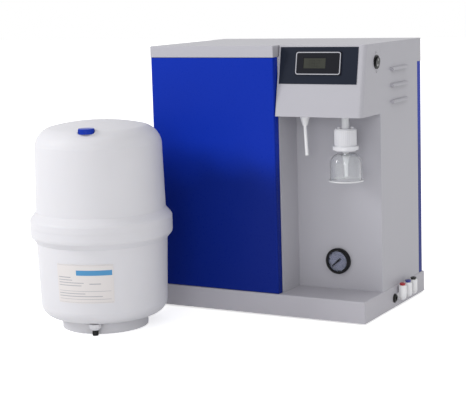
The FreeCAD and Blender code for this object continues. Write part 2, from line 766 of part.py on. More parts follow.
def outlet_parts():
    def level(drop):
        return ("outlet_across", "outlet_back", "%s - (%s)" % (head_low, drop))

    tube = rod("outlet_tube_rod", "outlet_radius - 0.1", level("outlet_drop"), "z", "outlet_drop + panel_lip")
    tube_bore = rod("outlet_tube_bore", "outlet_bore", level("outlet_drop + 1"), "z",
                    "outlet_drop + panel_lip + 2")
    keep("outlet_tube", less("outlet_tube_cut", tube, tube_bore))
    foot = "outlet_drop + capsule_tall"
    edge = "(capsule_radius - 2)"
    keep("filter_capsule", turned("capsule_body", [
        ("stem_bore", "0"),
        (edge, "0"),
        ("capsule_radius", "flange_rise"),
        ("capsule_flange", "flange_rise"),
        ("capsule_flange", "flange_rise + flange_tall"),
        ("capsule_radius", "flange_rise + flange_tall"),
        ("capsule_radius", "capsule_tall - 2"),
        (edge, "capsule_tall"),
        ("outlet_bore", "capsule_tall"),
        ("outlet_bore", "capsule_tall - 4"),
        (edge, "capsule_tall - 5"),
        (edge, "4"),
        ("stem_bore", "3"),
    ], level(foot)))
    keep("filter_stem", turned("stem_body", [
        ("stem_bore", "stem_long"),
        ("stem_bore", "0"),
        ("stem_tip", "0"),
        ("stem_tip", "stem_long * 0.4"),
        ("stem_top", "stem_long - stem_grip"),
        ("stem_top", "stem_long"),
    ], level(foot + " + stem_long")))
    hole = "stem_top + bell_play"
    round_radius = "(bell_radius * 0.65)"
    keep("filter_bell", turned("bell_body", [
        ("bell_rim", "0"),
        ("bell_rim", "rim_tall"),
        ("bell_radius", "rim_tall"),
        ("bell_radius", "bell_tall - " + round_radius, round_radius),
        ("bell_radius - " + round_radius, "bell_tall"),
        (hole, "bell_tall"),
        (hole, "bell_tall - bell_wall - 3"),
        (hole + " + bell_wall", "bell_tall - bell_wall - 3"),
        (hole + " + bell_wall", "bell_tall - bell_wall"),
        ("bell_radius - " + round_radius, "bell_tall - bell_wall", "-(%s - bell_wall)" % round_radius),
        ("bell_radius - bell_wall", "bell_tall - " + round_radius),
        ("bell_radius - bell_wall", "0"),
    ], level(foot + " + bell_gap + bell_tall")))


# Gland and tube fittings

def gland_parts():
    wall = base_right + " - sheet_wall"
    shank = rod("gland_shank", "gland_radius - 0.1", (wall + " - 8", "gland_back", "gland_up"), "x",
                "8 + sheet_wall")
    dome = cone("gland_dome", "gland_radius + 1.5", "gland_radius - 1.5", (base_right, "gland_back", "gland_up"),
                "x", "gland_proud")
    bore = rod("gland_cable_bore", "gland_bore", (wall + " - 9", "gland_back", "gland_up"), "x", "gland_proud + 20")
    keep("cable_gland", less("gland_cut", joined("gland_join", shank, dome), bore))
    nut = rod("gland_nut_disc", "gland_nut", (wall + " - 5", "gland_back", "gland_up"), "x", "5")
    nut_bore = rod("gland_nut_bore", "gland_radius", (wall + " - 6", "gland_back", "gland_up"), "x", "7")
    keep("gland_lock_nut", less("gland_nut_cut", nut, nut_bore))


def fitting_parts():
    for index, colour in enumerate(("red", "blue", "black")):
        name = "elbow_%d" % (index + 1)
        back = "(fitting_back + %d * fitting_pitch)" % index
        top = "fitting_up + fitting_rise"
        shank = rod(name + "_shank", "shank_radius - 0.1", (base_right + " - 3 * sheet_wall", back, "fitting_up"),
                    "x", "3 * sheet_wall + fitting_reach")
        collar = rod(name + "_collar", "shank_radius + 2.5", (base_right, back, "fitting_up"), "x", "4")
        knee = doc.addObject("Part::Sphere", name + "_knee")
        knee.setExpression("Radius", linked("fitting_radius"))
        place(knee, (fitting_across, back, "fitting_up"))
        leg = rod(name + "_leg", "fitting_radius", (fitting_across, back, "fitting_up"), "z", "fitting_rise")
        way = rod(name + "_way", "tube_radius - 0.7", (fitting_across, back, "fitting_up"), "z",
                  "fitting_rise + 1")
        across = rod(name + "_across", "tube_radius - 0.7",
                     (base_right + " - 4 * sheet_wall", back, "fitting_up"),
                     "x", "4 * sheet_wall + fitting_reach")
        socket = rod(name + "_socket", "collet_radius + collet_play",
                     (fitting_across, back, top + " - collet_deep - 2"), "z", "collet_deep + 3")
        body = joined(name + "_join", shank, collar, knee, leg)
        keep(name, less(name + "_cut", body, way, across, socket))
        head = "collet_proud - collet_rim"
        sleeve = rod(colour + "_sleeve", "collet_radius", (fitting_across, back, top + " - collet_deep"), "z",
                     "collet_deep + collet_proud")
        rim = rod(colour + "_rim", "collet_head", (fitting_across, back, top + " + " + head), "z", "collet_rim")
        hole = rod(colour + "_hole", "tube_radius", (fitting_across, back, top + " - collet_deep - 1"), "z",
                   "collet_deep + collet_proud + 2")
        keep("collet_" + colour, less(colour + "_cut", joined(colour + "_join", sleeve, rim), hole))


# Inside the cabinet

def inner_parts():
    front = "board_back"
    board = box("board_plate", ("board_margin", front, "base_height"),
                ("tower_width - board_margin", front + " + board_thick", band_low + " - board_margin"))
    keep("mounting_board", board)
    rise = "base_height + pump_radius * 3"
    rows = [("membrane_housing", "membrane_radius", "membrane_long", 0),
            ("prefilter", "filter_radius", "filter_long", 1)]
    for name, radius, long, index in rows:
        middle = "board_margin + filter_radius + clip_wall + 5 + %d * filter_pitch" % index
        back = "%s - clip_wall - %s" % (front, radius)
        keep(name, rod(name + "_rod", radius, (middle, back, rise), "z", long))
        clips = []
        for level in (0.15, 0.75):
            low = "%s + %s * %s" % (rise, long, level)
            word = "%s_%d_" % (name, level * 100)
            clip = rod(word + "clip", radius + " + clip_wall", (middle, back, low), "z", "clip_tall")
            bore = rod(word + "bore", radius + " + 0.1", (middle, back, low + " - 1"), "z", "clip_tall + 2")
            clips.append(less(word + "cut", clip, bore))
        spine = box(name + "_spine",
                    (middle + " - clip_tall / 2", back + " + " + radius + " + 0.2", rise + " + %s * 0.15" % long),
                    (middle + " + clip_tall / 2", front, rise + " + %s * 0.75 + clip_tall" % long))
        keep(name.replace("housing", "case") + "_clip", joined(name + "_clip_join", spine, *clips))
    supply_low = band_low + " - board_margin - supply_tall"
    keep("power_supply", box("supply_case", ("board_margin + 5", front + " + board_thick", supply_low),
                             ("board_margin + 5 + supply_width", front + " + board_thick + supply_deep",
                              supply_low + " + supply_tall")))
    left = "board_margin + supply_width + 15"
    card_back = front + " + board_thick + stand_off"
    card = box("card_plate", (left, card_back, supply_low), (left + " + circuit_width", card_back + " + 1.6",
                                                             supply_low + " + circuit_tall"))
    legs = []
    for index in range(4):
        x = left + (" + 5" if index % 2 else " + circuit_width - 5")
        z = supply_low + (" + 5" if index < 2 else " + circuit_tall - 5")
        legs.append(rod("card_leg_%d" % index, "3", (x, front + " + board_thick", z), "y", "stand_off"))
    keep("control_board", joined("card_join", card, *legs))
    pump_left = "board_margin + 30"
    pump_spot = (pump_left, "board_back - 2 * filter_radius", "base_height + pump_radius + 6")
    keep("pump_head", rod("pump_head_rod", "pump_radius * 0.9", pump_spot, "x", "pump_head_long"))
    motor_spot = (pump_left + " + pump_head_long", pump_spot[1], pump_spot[2])
    keep("pump_motor", rod("pump_motor_rod", "pump_radius", motor_spot, "x", "pump_long"))
    saddle = box("saddle_block", (motor_spot[0] + " + 10", pump_spot[1] + " - pump_radius", "base_height"),
                 (motor_spot[0] + " + pump_long - 10", pump_spot[1] + " + pump_radius",
                  "base_height + pump_radius / 2"))
    cradle = rod("saddle_cradle", "pump_radius + 0.1", motor_spot, "x", "pump_long")
    keep("pump_saddle", less("saddle_cut", saddle, cradle))
    for index in range(2):
        back = ("recess_depth + gauge_deep + cartridge_gap + cartridge_radius"
                " + %d * (2 * cartridge_radius + cartridge_gap)") % index
        keep("polishing_cartridge_%d" % (index + 1),
             rod("cartridge_rod_%d" % (index + 1), "cartridge_radius",
                 ("(%s + cabinet_width) / 2" % head_left, back, "base_height"), "z", "cartridge_tall"))
    low = band_low + " - board_margin - 2 * valve_size"
    side = "tower_width - board_margin - 2 * valve_size"
    keep("solenoid_valve", box("solenoid_block", (side, front + " - valve_size", low),
                               (side + " + valve_size", front, low + " + valve_size * 1.5")))


# Storage tank

def tank_parts():
    spot = ("tank_across", "tank_back", "0")
    keep("tank_base_ring", turned("tank_ring_body", [
        ("tank_foot_radius - tank_foot_wall", "0"),
        ("tank_foot_radius", "0"),
        ("tank_foot_radius", "tank_foot_tall"),
        ("tank_foot_radius - tank_foot_wall", "tank_foot_tall"),
    ], spot))
    belt_foot = "tank_low_rise"
    inner_round = "-(tank_heel_round - tank_wall)"
    keep("tank_lower_shell", turned("tank_lower_body", [
        ("0", "tank_foot_tall"),
        ("tank_heel_start", "tank_foot_tall", "tank_heel_round"),
        ("tank_heel", "tank_heel_rise"),
        ("tank_low_top", belt_foot),
        ("belt_radius - 1", "belt_low"),
        ("belt_radius", "belt_low + tank_wall"),
        ("belt_radius", "belt_seam"),
        ("belt_radius - 2 * tank_wall", "belt_seam"),
        ("belt_radius - 2 * tank_wall", "belt_low"),
        ("tank_low_top - tank_wall", belt_foot),
        ("tank_heel - tank_wall", "tank_heel_rise", inner_round),
        ("tank_heel_start", "tank_foot_tall + tank_wall"),
        ("0", "tank_foot_tall + tank_wall"),
    ], spot))
    crown_inner = "(tank_crown_radius - 2)"
    upper = turned("tank_upper_body", [
        ("belt_radius - 2 * tank_wall", "belt_seam + seam"),
        ("belt_radius", "belt_seam + seam"),
        ("belt_radius", "belt_top - tank_wall"),
        ("belt_radius - 2", "belt_top"),
        ("tank_high_low", "belt_top + belt_slope"),
        ("tank_high_top", "tank_shoulder_rise", "tank_shoulder_round"),
        ("tank_crown_radius", "tank_crown_rise", "tank_crown_round"),
        ("0", "tank_apex"),
        ("0", "tank_apex - tank_wall"),
        (crown_inner, "tank_crown_rise - tank_wall", "-(tank_shoulder_round - tank_wall)"),
        ("tank_high_top - tank_wall", "tank_shoulder_rise - 2"),
        ("tank_high_low - tank_wall", "belt_top + belt_slope"),
        ("belt_radius - 2 * tank_wall", "belt_top"),
    ], spot)
    envelope = turned("tank_envelope", [
        ("0", "tank_shoulder_rise"),
        ("tank_high_top", "tank_shoulder_rise", "tank_shoulder_round"),
        ("tank_crown_radius", "tank_crown_rise", "tank_crown_round"),
        ("0", "tank_apex"),
    ], spot)
    seat = "tank_crown_rise - air_seat_drop"
    well = "air_cap_radius + air_pocket_play"
    block = doc.addObject("Part::Common", "air_pocket_block")
    block.Base = rod("air_pocket_rod", well + " + air_pocket_wall", air_place(seat + " - air_floor"),
                     "z", "40")
    block.Tool = envelope
    pocket = rod("air_pocket", well, air_place(seat), "z", "40")
    hole = rod("air_hole", "air_stem_radius + 0.1", air_place(seat + " - 2 * air_floor"), "z", "40")
    keep("tank_upper_shell", less("tank_upper_bored", joined("tank_upper_join", upper, block), pocket, hole))
    keep("tank_diaphragm", turned("tank_diaphragm_body", [
        ("0", "tank_foot_tall + tank_wall + seam"),
        ("tank_heel_start - 10", "tank_foot_tall + tank_wall + seam"),
        ("tank_heel - tank_wall - 4", "tank_heel_rise"),
        ("tank_heel - tank_wall - 0.6", "tank_heel_rise + 15"),
        ("tank_heel - tank_wall - 0.6", "tank_low_rise"),
        ("tank_heel - tank_wall - 2.6", "tank_low_rise"),
        ("tank_heel - tank_wall - 2.6", "tank_heel_rise + 15"),
        ("tank_heel_start - 10", "tank_foot_tall + tank_wall + seam + 2"),
        ("0", "tank_foot_tall + tank_wall + seam + 2"),
    ], spot))
    under = seat + " - air_floor - 3"
    stem = rod("air_stem_rod", "air_stem_radius", air_place(under), "z", "3 + air_floor + air_stem_tall")
    collar = rod("air_stem_collar", "air_stem_radius + 4", air_place(under), "z", "3")
    keep("tank_air_valve", joined("air_stem_join", stem, collar))
    cap = rod("air_cap_rod", "air_cap_radius", air_place(seat), "z", "air_cap_tall")
    hollow = rod("air_cap_hollow", "air_stem_radius + pivot_play", air_place(seat + " - 1"), "z",
                 "air_stem_tall + 1 + seam")
    relief = rod("air_cap_relief", "air_cap_radius - air_cap_wall", air_place(seat + " - 1"), "z",
                 "air_cap_tall / 2")
    keep("tank_air_cap", less("air_cap_cut", cap, hollow, relief))
    body_low = "tank_foot_tall - outlet_body_tall"
    body = turned("tank_outlet_turn", [
        ("knob_pin + pivot_play", "0"),
        ("outlet_body_radius - outlet_dome", "0"),
        ("outlet_body_radius", "outlet_dome"),
        ("outlet_body_radius", "outlet_body_tall"),
        ("knob_pin + pivot_play", "outlet_body_tall"),
    ], outlet_place(body_low))
    ring_room = rod("tank_outlet_trim", "tank_foot_radius + seam", ("tank_across", "tank_back", "0"), "z",
                    "tank_foot_tall + 1")
    keep("tank_outlet", less("tank_outlet_cut", body, ring_room))
    knob_low = body_low + " - seam - knob_tall"
    knob = rod("knob_rod", "knob_radius", outlet_place(knob_low), "z", "knob_tall")
    pin = rod("knob_pin_rod", "knob_pin", outlet_place(knob_low), "z", "knob_tall + outlet_body_tall / 2")
    keep("tank_outlet_knob", joined("knob_join", knob, pin))
    keep("tank_label", tank_label())


# A place round the tank's axis
def tank_place(reach, turn, height):
    return ("tank_across + %s * cos(%s * 1 deg)" % (reach, turn),
            "tank_back + %s * sin(%s * 1 deg)" % (reach, turn),
            height)


def air_place(height):
    return tank_place("air_cap_out", "air_cap_turn", height)


def outlet_place(height):
    return tank_place("outlet_reach", "outlet_turn", height)


# The label follows the tapered wall, so its face is a thin sector of it
def tank_label():
    taper = "(tank_low_top - tank_heel) / (tank_low_rise - tank_heel_rise)"
    low = "tank_heel + 0.1 + (label_low - tank_heel_rise) * %s" % taper
    high = "tank_heel + 0.1 + (label_low + label_tall - tank_heel_rise) * %s" % taper
    body = turned("tank_label_body", [
        (low, "label_low"),
        (low + " + label_thick", "label_low"),
        (high + " + label_thick", "label_low + label_tall"),
        (high, "label_low + label_tall"),
    ], ("tank_across", "tank_back", "0"), angle=number("label_span"))
    start = number("label_turn - label_span")
    body.Placement.Rotation = FreeCAD.Rotation(FreeCAD.Vector(0, 0, 1), start)
    return body


def build():
    base_parts()
    side_panels()
    front_panel()
    rear_cover()
    top_cover()
    recess_liner()
    head_shell()
    display_parts()
    switch_parts()
    gauge_parts()
    spout_parts()
    outlet_parts()
    gland_parts()
    fitting_parts()
    inner_parts()
    tank_parts()
    doc.recompute()


def check():
    faults = []
    for item in doc.Objects:
        if "Invalid" in item.State or "Error" in item.State:
            faults.append(item.Name + " did not recompute")
    for name, piece in nodes.items():
        shape = piece.Shape
        if shape.isNull() or not shape.isValid() or not shape.Solids:
            faults.append(name + " has no sound shape")
    if faults:
        raise RuntimeError("; ".join(faults))


def write():
    os.makedirs("parts", exist_ok=True)
    for name, piece in nodes.items():
        piece.Shape.exportStep("parts/%s.step" % name)
        print(name, len(piece.Shape.Solids), round(piece.Shape.Volume))


build()
check()
write()
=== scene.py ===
import json
import math

import bmesh
import bpy
from mathutils import Matrix, Vector


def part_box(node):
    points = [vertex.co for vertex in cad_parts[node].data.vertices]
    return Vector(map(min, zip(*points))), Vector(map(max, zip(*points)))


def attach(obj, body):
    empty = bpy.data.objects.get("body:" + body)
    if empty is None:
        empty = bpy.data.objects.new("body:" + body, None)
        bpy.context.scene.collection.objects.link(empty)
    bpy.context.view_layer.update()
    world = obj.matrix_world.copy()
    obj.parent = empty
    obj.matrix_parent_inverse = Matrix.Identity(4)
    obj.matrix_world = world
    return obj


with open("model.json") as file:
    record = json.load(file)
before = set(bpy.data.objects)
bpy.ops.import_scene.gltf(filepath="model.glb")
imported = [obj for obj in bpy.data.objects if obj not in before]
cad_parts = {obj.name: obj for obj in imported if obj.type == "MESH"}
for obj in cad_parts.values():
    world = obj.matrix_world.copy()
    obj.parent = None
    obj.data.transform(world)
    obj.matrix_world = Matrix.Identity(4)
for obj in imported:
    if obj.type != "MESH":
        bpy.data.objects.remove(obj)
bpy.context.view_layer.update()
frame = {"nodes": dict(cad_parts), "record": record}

# The looks of the ultrapure water system: finishes for the frame's nodes, its printed and
# moulded trim, and the room it stands in. Lengths in the values below are millimetres.

MM = 0.001


def corners(node):
    low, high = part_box(node)
    return Vector(low), Vector(high)


def mid(node):
    low, high = corners(node)
    return (low + high) / 2


def at(x, y, z):
    """A place measured from the cabinet's front left corner at bench level."""
    low = corners("base_tray")[0]
    return Vector((low.x, low.y, 0.0)) + Vector((x, y, z)) * MM


# Camera of the photograph

CAMERA_PLACE = (1488.65, -2341.25, 659.66)
CAMERA_YAW = math.radians(-28.887)
CAMERA_PITCH = math.radians(-8.358)
CAMERA_ROLL = math.radians(1.624)
IMAGE_WIDTH = 466.0
IMAGE_HEIGHT = 407.0
FOCAL_PIXELS = 1350.9
CENTRE_PIXEL = (238.5, 183.0)
SENSOR_WIDTH = 36.0
CLIP_END_METRES = 50.0


def photo_camera():
    data = bpy.data.cameras.new("photo_camera")
    data.sensor_width = SENSOR_WIDTH
    data.lens = FOCAL_PIXELS / IMAGE_WIDTH * SENSOR_WIDTH
    data.shift_x = (IMAGE_WIDTH / 2 - CENTRE_PIXEL[0]) / IMAGE_WIDTH
    data.shift_y = (CENTRE_PIXEL[1] - IMAGE_HEIGHT / 2) / IMAGE_WIDTH
    data.clip_end = CLIP_END_METRES
    ahead = Vector((
        math.sin(CAMERA_YAW) * math.cos(CAMERA_PITCH),
        math.cos(CAMERA_YAW) * math.cos(CAMERA_PITCH),
        math.sin(CAMERA_PITCH),
    ))
    level = Vector((math.cos(CAMERA_YAW), -math.sin(CAMERA_YAW), 0.0))
    below = ahead.cross(level)
    right = level * math.cos(CAMERA_ROLL) + below * math.sin(CAMERA_ROLL)
    down = below * math.cos(CAMERA_ROLL) - level * math.sin(CAMERA_ROLL)
    turn = Matrix((right, -down, -ahead)).transposed().to_4x4()
    camera = bpy.data.objects.new("photo_camera", data)
    camera.matrix_world = Matrix.Translation(at(*CAMERA_PLACE)) @ turn
    bpy.context.scene.collection.objects.link(camera)
    bpy.context.scene.camera = camera


# Shader groups that several finishes share

COLOUR = "NodeSocketColor"
NUMBER = "NodeSocketFloat"
FINE_DETAIL = 3.0
BROAD_DETAIL = 4.0
GRAIN_VALLEY = 0.3
GRAIN_PEAK = 0.7
EDGE_START = 0.52
EDGE_FULL = 0.6
# The wavy line between painted light above and painted shade below on the blue sheets.
WAVE_SCALE = 6.0
WAVE_DETAIL = 1.0
WAVE_RISE_METRES = 0.16
WAVE_SHIFT_METRES = -0.08


def shader_group(name, inputs, outputs):
    """A shader group with named sockets, and its input and output nodes."""
    group = bpy.data.node_groups.new(name, "ShaderNodeTree")
    for label, kind, value in inputs:
        item = group.interface.new_socket(name=label, in_out="INPUT", socket_type=kind)
        item.default_value = value
    for label, kind in outputs:
        group.interface.new_socket(name=label, in_out="OUTPUT", socket_type=kind)
    return group, group.nodes.new("NodeGroupInput"), group.nodes.new("NodeGroupOutput")


def mix_colours(tree, factor, first, second):
    blend = tree.nodes.new("ShaderNodeMixRGB")
    tree.links.new(factor, blend.inputs["Fac"])
    tree.links.new(first, blend.inputs["Color1"])
    tree.links.new(second, blend.inputs["Color2"])
    return blend.outputs["Color"]


def make_grain():
    """Fine moulded or sprayed grain, with a broad unevenness of colour under it."""
    group, inputs, outputs = shader_group(
        "surface_grain",
        (
            ("Colour", COLOUR, (0.5, 0.5, 0.5, 1)),
            ("Second Colour", COLOUR, (0.4, 0.4, 0.4, 1)),
            ("Grain Scale", NUMBER, 900.0),
            ("Patch Scale", NUMBER, 9.0),
            ("Roughness Low", NUMBER, 0.4),
            ("Roughness High", NUMBER, 0.5),
        ),
        (("Colour", COLOUR), ("Roughness", NUMBER), ("Height", NUMBER)),
    )
    nodes, links = group.nodes, group.links
    place = nodes.new("ShaderNodeTexCoord")

    def noise(scale, detail):
        made = nodes.new("ShaderNodeTexNoise")
        made.inputs["Detail"].default_value = detail
        links.new(place.outputs["Object"], made.inputs["Vector"])
        links.new(inputs.outputs[scale], made.inputs["Scale"])
        return made.outputs["Fac"]

    fine = noise("Grain Scale", FINE_DETAIL)
    broad = noise("Patch Scale", BROAD_DETAIL)
    mixed = mix_colours(group, broad, inputs.outputs["Colour"], inputs.outputs["Second Colour"])
    spread = nodes.new("ShaderNodeMapRange")
    spread.inputs["From Min"].default_value = GRAIN_VALLEY
    spread.inputs["From Max"].default_value = GRAIN_PEAK
    links.new(fine, spread.inputs["Value"])
    links.new(inputs.outputs["Roughness Low"], spread.inputs["To Min"])
    links.new(inputs.outputs["Roughness High"], spread.inputs["To Max"])
    links.new(mixed, outputs.inputs["Colour"])
    links.new(spread.outputs["Result"], outputs.inputs["Roughness"])
    links.new(fine, outputs.inputs["Height"])
    return group


def make_rubbed_edge():
    """Corners a little paler than the faces, where handling has polished them."""
    group, inputs, outputs = shader_group(
        "rubbed_edge",
        (
            ("Colour", COLOUR, (0.5, 0.5, 0.5, 1)),
            ("Edge Colour", COLOUR, (0.6, 0.6, 0.6, 1)),
            ("Amount", NUMBER, 0.5),
        ),
        (("Colour", COLOUR),),
    )
    nodes, links = group.nodes, group.links
    geometry = nodes.new("ShaderNodeNewGeometry")
    sharp = nodes.new("ShaderNodeMapRange")
    sharp.inputs["From Min"].default_value = EDGE_START
    sharp.inputs["From Max"].default_value = EDGE_FULL
    links.new(geometry.outputs["Pointiness"], sharp.inputs["Value"])
    links.new(inputs.outputs["Amount"], sharp.inputs["To Max"])
    worn = mix_colours(group, sharp.outputs["Result"],
                       inputs.outputs["Colour"], inputs.outputs["Edge Colour"])
    links.new(worn, outputs.inputs["Colour"])
    return group


def make_enamel_painted_shade():
    """Painted light and shade: a bright colour above that turns to a darker one below, across a
    soft wavy line, standing in for light that falls on the upper part of the blue sheets and not on
    the lower.

    The heights are metres above the bench.
    """
    group, inputs, outputs = shader_group(
        "enamel_painted_shade",
        (
            ("Upper Colour", COLOUR, (0.01, 0.03, 0.3, 1)),
            ("Lower Colour", COLOUR, (0.005, 0.01, 0.12, 1)),
            ("Start Height", NUMBER, 0.24),
            ("End Height", NUMBER, 0.36),
        ),
        (("Colour", COLOUR),),
    )
    nodes, links = group.nodes, group.links
    geometry = nodes.new("ShaderNodeNewGeometry")
    apart = nodes.new("ShaderNodeSeparateXYZ")
    links.new(geometry.outputs["Position"], apart.inputs["Vector"])
    wave = nodes.new("ShaderNodeTexNoise")
    wave.inputs["Scale"].default_value = WAVE_SCALE
    wave.inputs["Detail"].default_value = WAVE_DETAIL
    links.new(geometry.outputs["Position"], wave.inputs["Vector"])
    shift = nodes.new("ShaderNodeMath")
    shift.operation = "MULTIPLY_ADD"
    shift.inputs[1].default_value = WAVE_RISE_METRES
    shift.inputs[2].default_value = WAVE_SHIFT_METRES
    links.new(wave.outputs["Fac"], shift.inputs[0])
    height = nodes.new("ShaderNodeMath")
    height.operation = "ADD"
    links.new(apart.outputs["Z"], height.inputs[0])
    links.new(shift.outputs[0], height.inputs[1])
    # Mask between painted shade below (nought) and painted light above (one).
    step = nodes.new("ShaderNodeMapRange")
    step.interpolation_type = "SMOOTHSTEP"
    links.new(height.outputs[0], step.inputs["Value"])
    links.new(inputs.outputs["Start Height"], step.inputs["From Min"])
    links.new(inputs.outputs["End Height"], step.inputs["From Max"])
    painted_shade = mix_colours(group, step.outputs["Result"],
                       inputs.outputs["Lower Colour"], inputs.outputs["Upper Colour"])
    links.new(painted_shade, outputs.inputs["Colour"])
    return group


GRAIN = make_grain()
RUBBED_EDGE = make_rubbed_edge()
ENAMEL_PAINTED_SHADE = make_enamel_painted_shade()

RELIEF_METRES = 0.0004
SKIN_DEPTH_METRES = (0.008, 0.007, 0.006)
LEAST_ROUGHNESS = 0.02
EDGE_PALER = 1.35


def shade(colour, factor):
    return tuple(min(1.0, part * factor) for part in colour)


def finish(name, colour, rough, grain=900.0, bump=0.05, patch=0.94, patch_scale=9.0,
           spread=0.08, edge=0.0, metallic=0.0, clear=0.0, ior=1.45, sub=0.0, gloss=0.5):
    """A finish with grain, uneven colour and edge polish.

    The colour is linear red, green and blue. patch is how dark the patches are, spread how
    far the roughness varies, edge the polish on corners, clear how much light goes through,
    sub the light that spreads under the skin, and gloss the level of the plain reflection.
    """
    material = bpy.data.materials.new(name)
    material.use_nodes = True
    nodes, links = material.node_tree.nodes, material.node_tree.links
    shader = nodes["Principled BSDF"]
    shader.inputs["Metallic"].default_value = metallic
    shader.inputs["Transmission Weight"].default_value = clear
    shader.inputs["IOR"].default_value = ior
    shader.inputs["Specular IOR Level"].default_value = gloss
    shader.inputs["Subsurface Weight"].default_value = sub
    shader.inputs["Subsurface Radius"].default_value = SKIN_DEPTH_METRES
    surface = nodes.new("ShaderNodeGroup")
    surface.node_tree = GRAIN
    surface.inputs["Colour"].default_value = (*colour, 1)
    surface.inputs["Second Colour"].default_value = (*shade(colour, patch), 1)
    surface.inputs["Grain Scale"].default_value = grain
    surface.inputs["Patch Scale"].default_value = patch_scale
    surface.inputs["Roughness Low"].default_value = max(LEAST_ROUGHNESS, rough - spread / 2)
    surface.inputs["Roughness High"].default_value = rough + spread / 2
    last = surface.outputs["Colour"]
    if edge:
        worn = nodes.new("ShaderNodeGroup")
        worn.node_tree = RUBBED_EDGE
        worn.inputs["Edge Colour"].default_value = (*shade(colour, EDGE_PALER), 1)
        worn.inputs["Amount"].default_value = edge
        links.new(last, worn.inputs["Colour"])
        last = worn.outputs["Colour"]
    links.new(last, shader.inputs["Base Color"])
    links.new(surface.outputs["Roughness"], shader.inputs["Roughness"])
    relief = nodes.new("ShaderNodeBump")
    relief.inputs["Strength"].default_value = bump
    relief.inputs["Distance"].default_value = RELIEF_METRES
    links.new(surface.outputs["Height"], relief.inputs["Height"])
    links.new(relief.outputs["Normal"], shader.inputs["Normal"])
    return material


def enamel(name, upper, lower):
    """The blue sheets: the common finish, darkened lower down by painted shade across a soft wavy
    line.
    """
    material = finish(name, upper, 0.3, grain=260, bump=0.03, patch=0.9, patch_scale=5,
                      gloss=0.06)
    nodes, links = material.node_tree.nodes, material.node_tree.links
    # Painted shade on the lower part of the blue sheets, painted light on the upper.
    depth = nodes.new("ShaderNodeGroup")
    depth.node_tree = ENAMEL_PAINTED_SHADE
    depth.inputs["Lower Colour"].default_value = (*lower, 1)
    base = nodes["Principled BSDF"].inputs["Base Color"]
    links.new(base.links[0].from_socket, depth.inputs["Upper Colour"])
    links.new(depth.outputs["Colour"], base)
    return material


# Finishes of the real pieces

GREY_POWDER = finish("grey_powder_coat", (0.407, 0.402, 0.44), 0.42, grain=1400, bump=0.12,
                     patch=0.965, gloss=0.4)
BASE_POWDER = finish("base_powder_coat", (0.43, 0.42, 0.46), 0.45, grain=1400, bump=0.12,
                     patch=0.95, gloss=0.4)
# The upper colour carries painted light and the lower colour painted shade on the blue sheets.
BLUE_ENAMEL = enamel("blue_enamel", (0.0055, 0.028, 0.36), (0.0038, 0.016, 0.19))
BLACK_FILM = finish("black_film", (0.0115, 0.0155, 0.028), 0.4, grain=2600, bump=0.1,
                    patch=0.8, gloss=0.12)
METER_BLACK = finish("meter_black", (0.008, 0.0085, 0.013), 0.42, grain=2400, bump=0.1,
                     patch=0.85, gloss=0.12)
PALE_PRINT = finish("pale_print", (0.38, 0.38, 0.42), 0.4, grain=1500)
LCD_OLIVE = finish("lcd_olive", (0.042, 0.044, 0.036), 0.25, grain=3000, bump=0.02,
                   patch=0.8, patch_scale=30, gloss=0.2)
LCD_INK = finish("lcd_ink", (0.022, 0.023, 0.019), 0.3, grain=1500, bump=0.02, gloss=0.2)
SWITCH_BLACK = finish("switch_black", (0.007, 0.007, 0.008), 0.28, grain=1800, bump=0.08,
                      patch=0.8, edge=0.5, gloss=0.25)
MARK_WHITE = finish("mark_white", (0.68, 0.68, 0.68), 0.5, grain=1500, bump=0.04)
SCREW_ZINC = finish("screw_zinc", (0.52, 0.52, 0.54), 0.3, grain=1200, bump=0.1,
                    metallic=1.0, edge=0.5)
GAUGE_BLACK = finish("gauge_black_lacquer", (0.003, 0.003, 0.005), 0.14, grain=700,
                     patch=0.8, gloss=0.14)
DIAL_CARD = finish("dial_card", (0.18, 0.19, 0.275), 0.5, grain=1600, patch=0.9,
                   patch_scale=60)
DIAL_INK = finish("dial_ink", (0.006, 0.007, 0.02), 0.45, grain=1500, bump=0.02, gloss=0.2)
LENS_CLEAR = finish("lens_clear", (0.96, 0.97, 0.98), 0.04, grain=400, bump=0.01,
                    patch=0.99, spread=0.02, clear=1.0, ior=1.2)
FITTING_WHITE = finish("fitting_white", (0.78, 0.78, 0.8), 0.36, grain=1300, bump=0.06,
                       sub=0.1, edge=0.3)
TUBE_WHITE = finish("tube_white", (0.8, 0.8, 0.82), 0.3, grain=700, bump=0.04, sub=0.15)
CAPSULE_WHITE = finish("capsule_white", (0.62, 0.62, 0.65), 0.38, bump=0.06, sub=0.2,
                       edge=0.3)
BELL_CLEAR = finish("bell_clear", (0.95, 0.96, 0.97), 0.05, grain=160, bump=0.03,
                    patch=0.97, patch_scale=20, spread=0.03, clear=0.95, ior=1.38)
BELL_RIM = finish("bell_rim", (0.9, 0.91, 0.93), 0.12, grain=300, bump=0.04, patch=0.97,
                  clear=0.45, ior=1.4)
TUBE_CLEAR = finish("tube_clear", (0.9, 0.91, 0.93), 0.14, grain=220, bump=0.06,
                    patch=0.96, patch_scale=20, spread=0.05, clear=0.35, ior=1.3)
GLAND_BLACK = finish("gland_black", (0.005, 0.005, 0.005), 0.45, grain=1500, bump=0.1,
                     patch=0.8, edge=0.5, gloss=0.25)
COLLET_RED = finish("collet_red_ring", (0.42, 0.02, 0.03), 0.3, grain=1500, patch=0.85)
COLLET_BLUE = finish("collet_blue_ring", (0.035, 0.04, 0.26), 0.3, grain=1500, patch=0.85)
COLLET_BLACK = finish("collet_black_ring", (0.012, 0.012, 0.012), 0.3, grain=1500,
                      patch=0.85)
FOOT_RUBBER = finish("foot_rubber", (0.02, 0.02, 0.02), 0.75, grain=1800, bump=0.3,
                     patch=0.7)
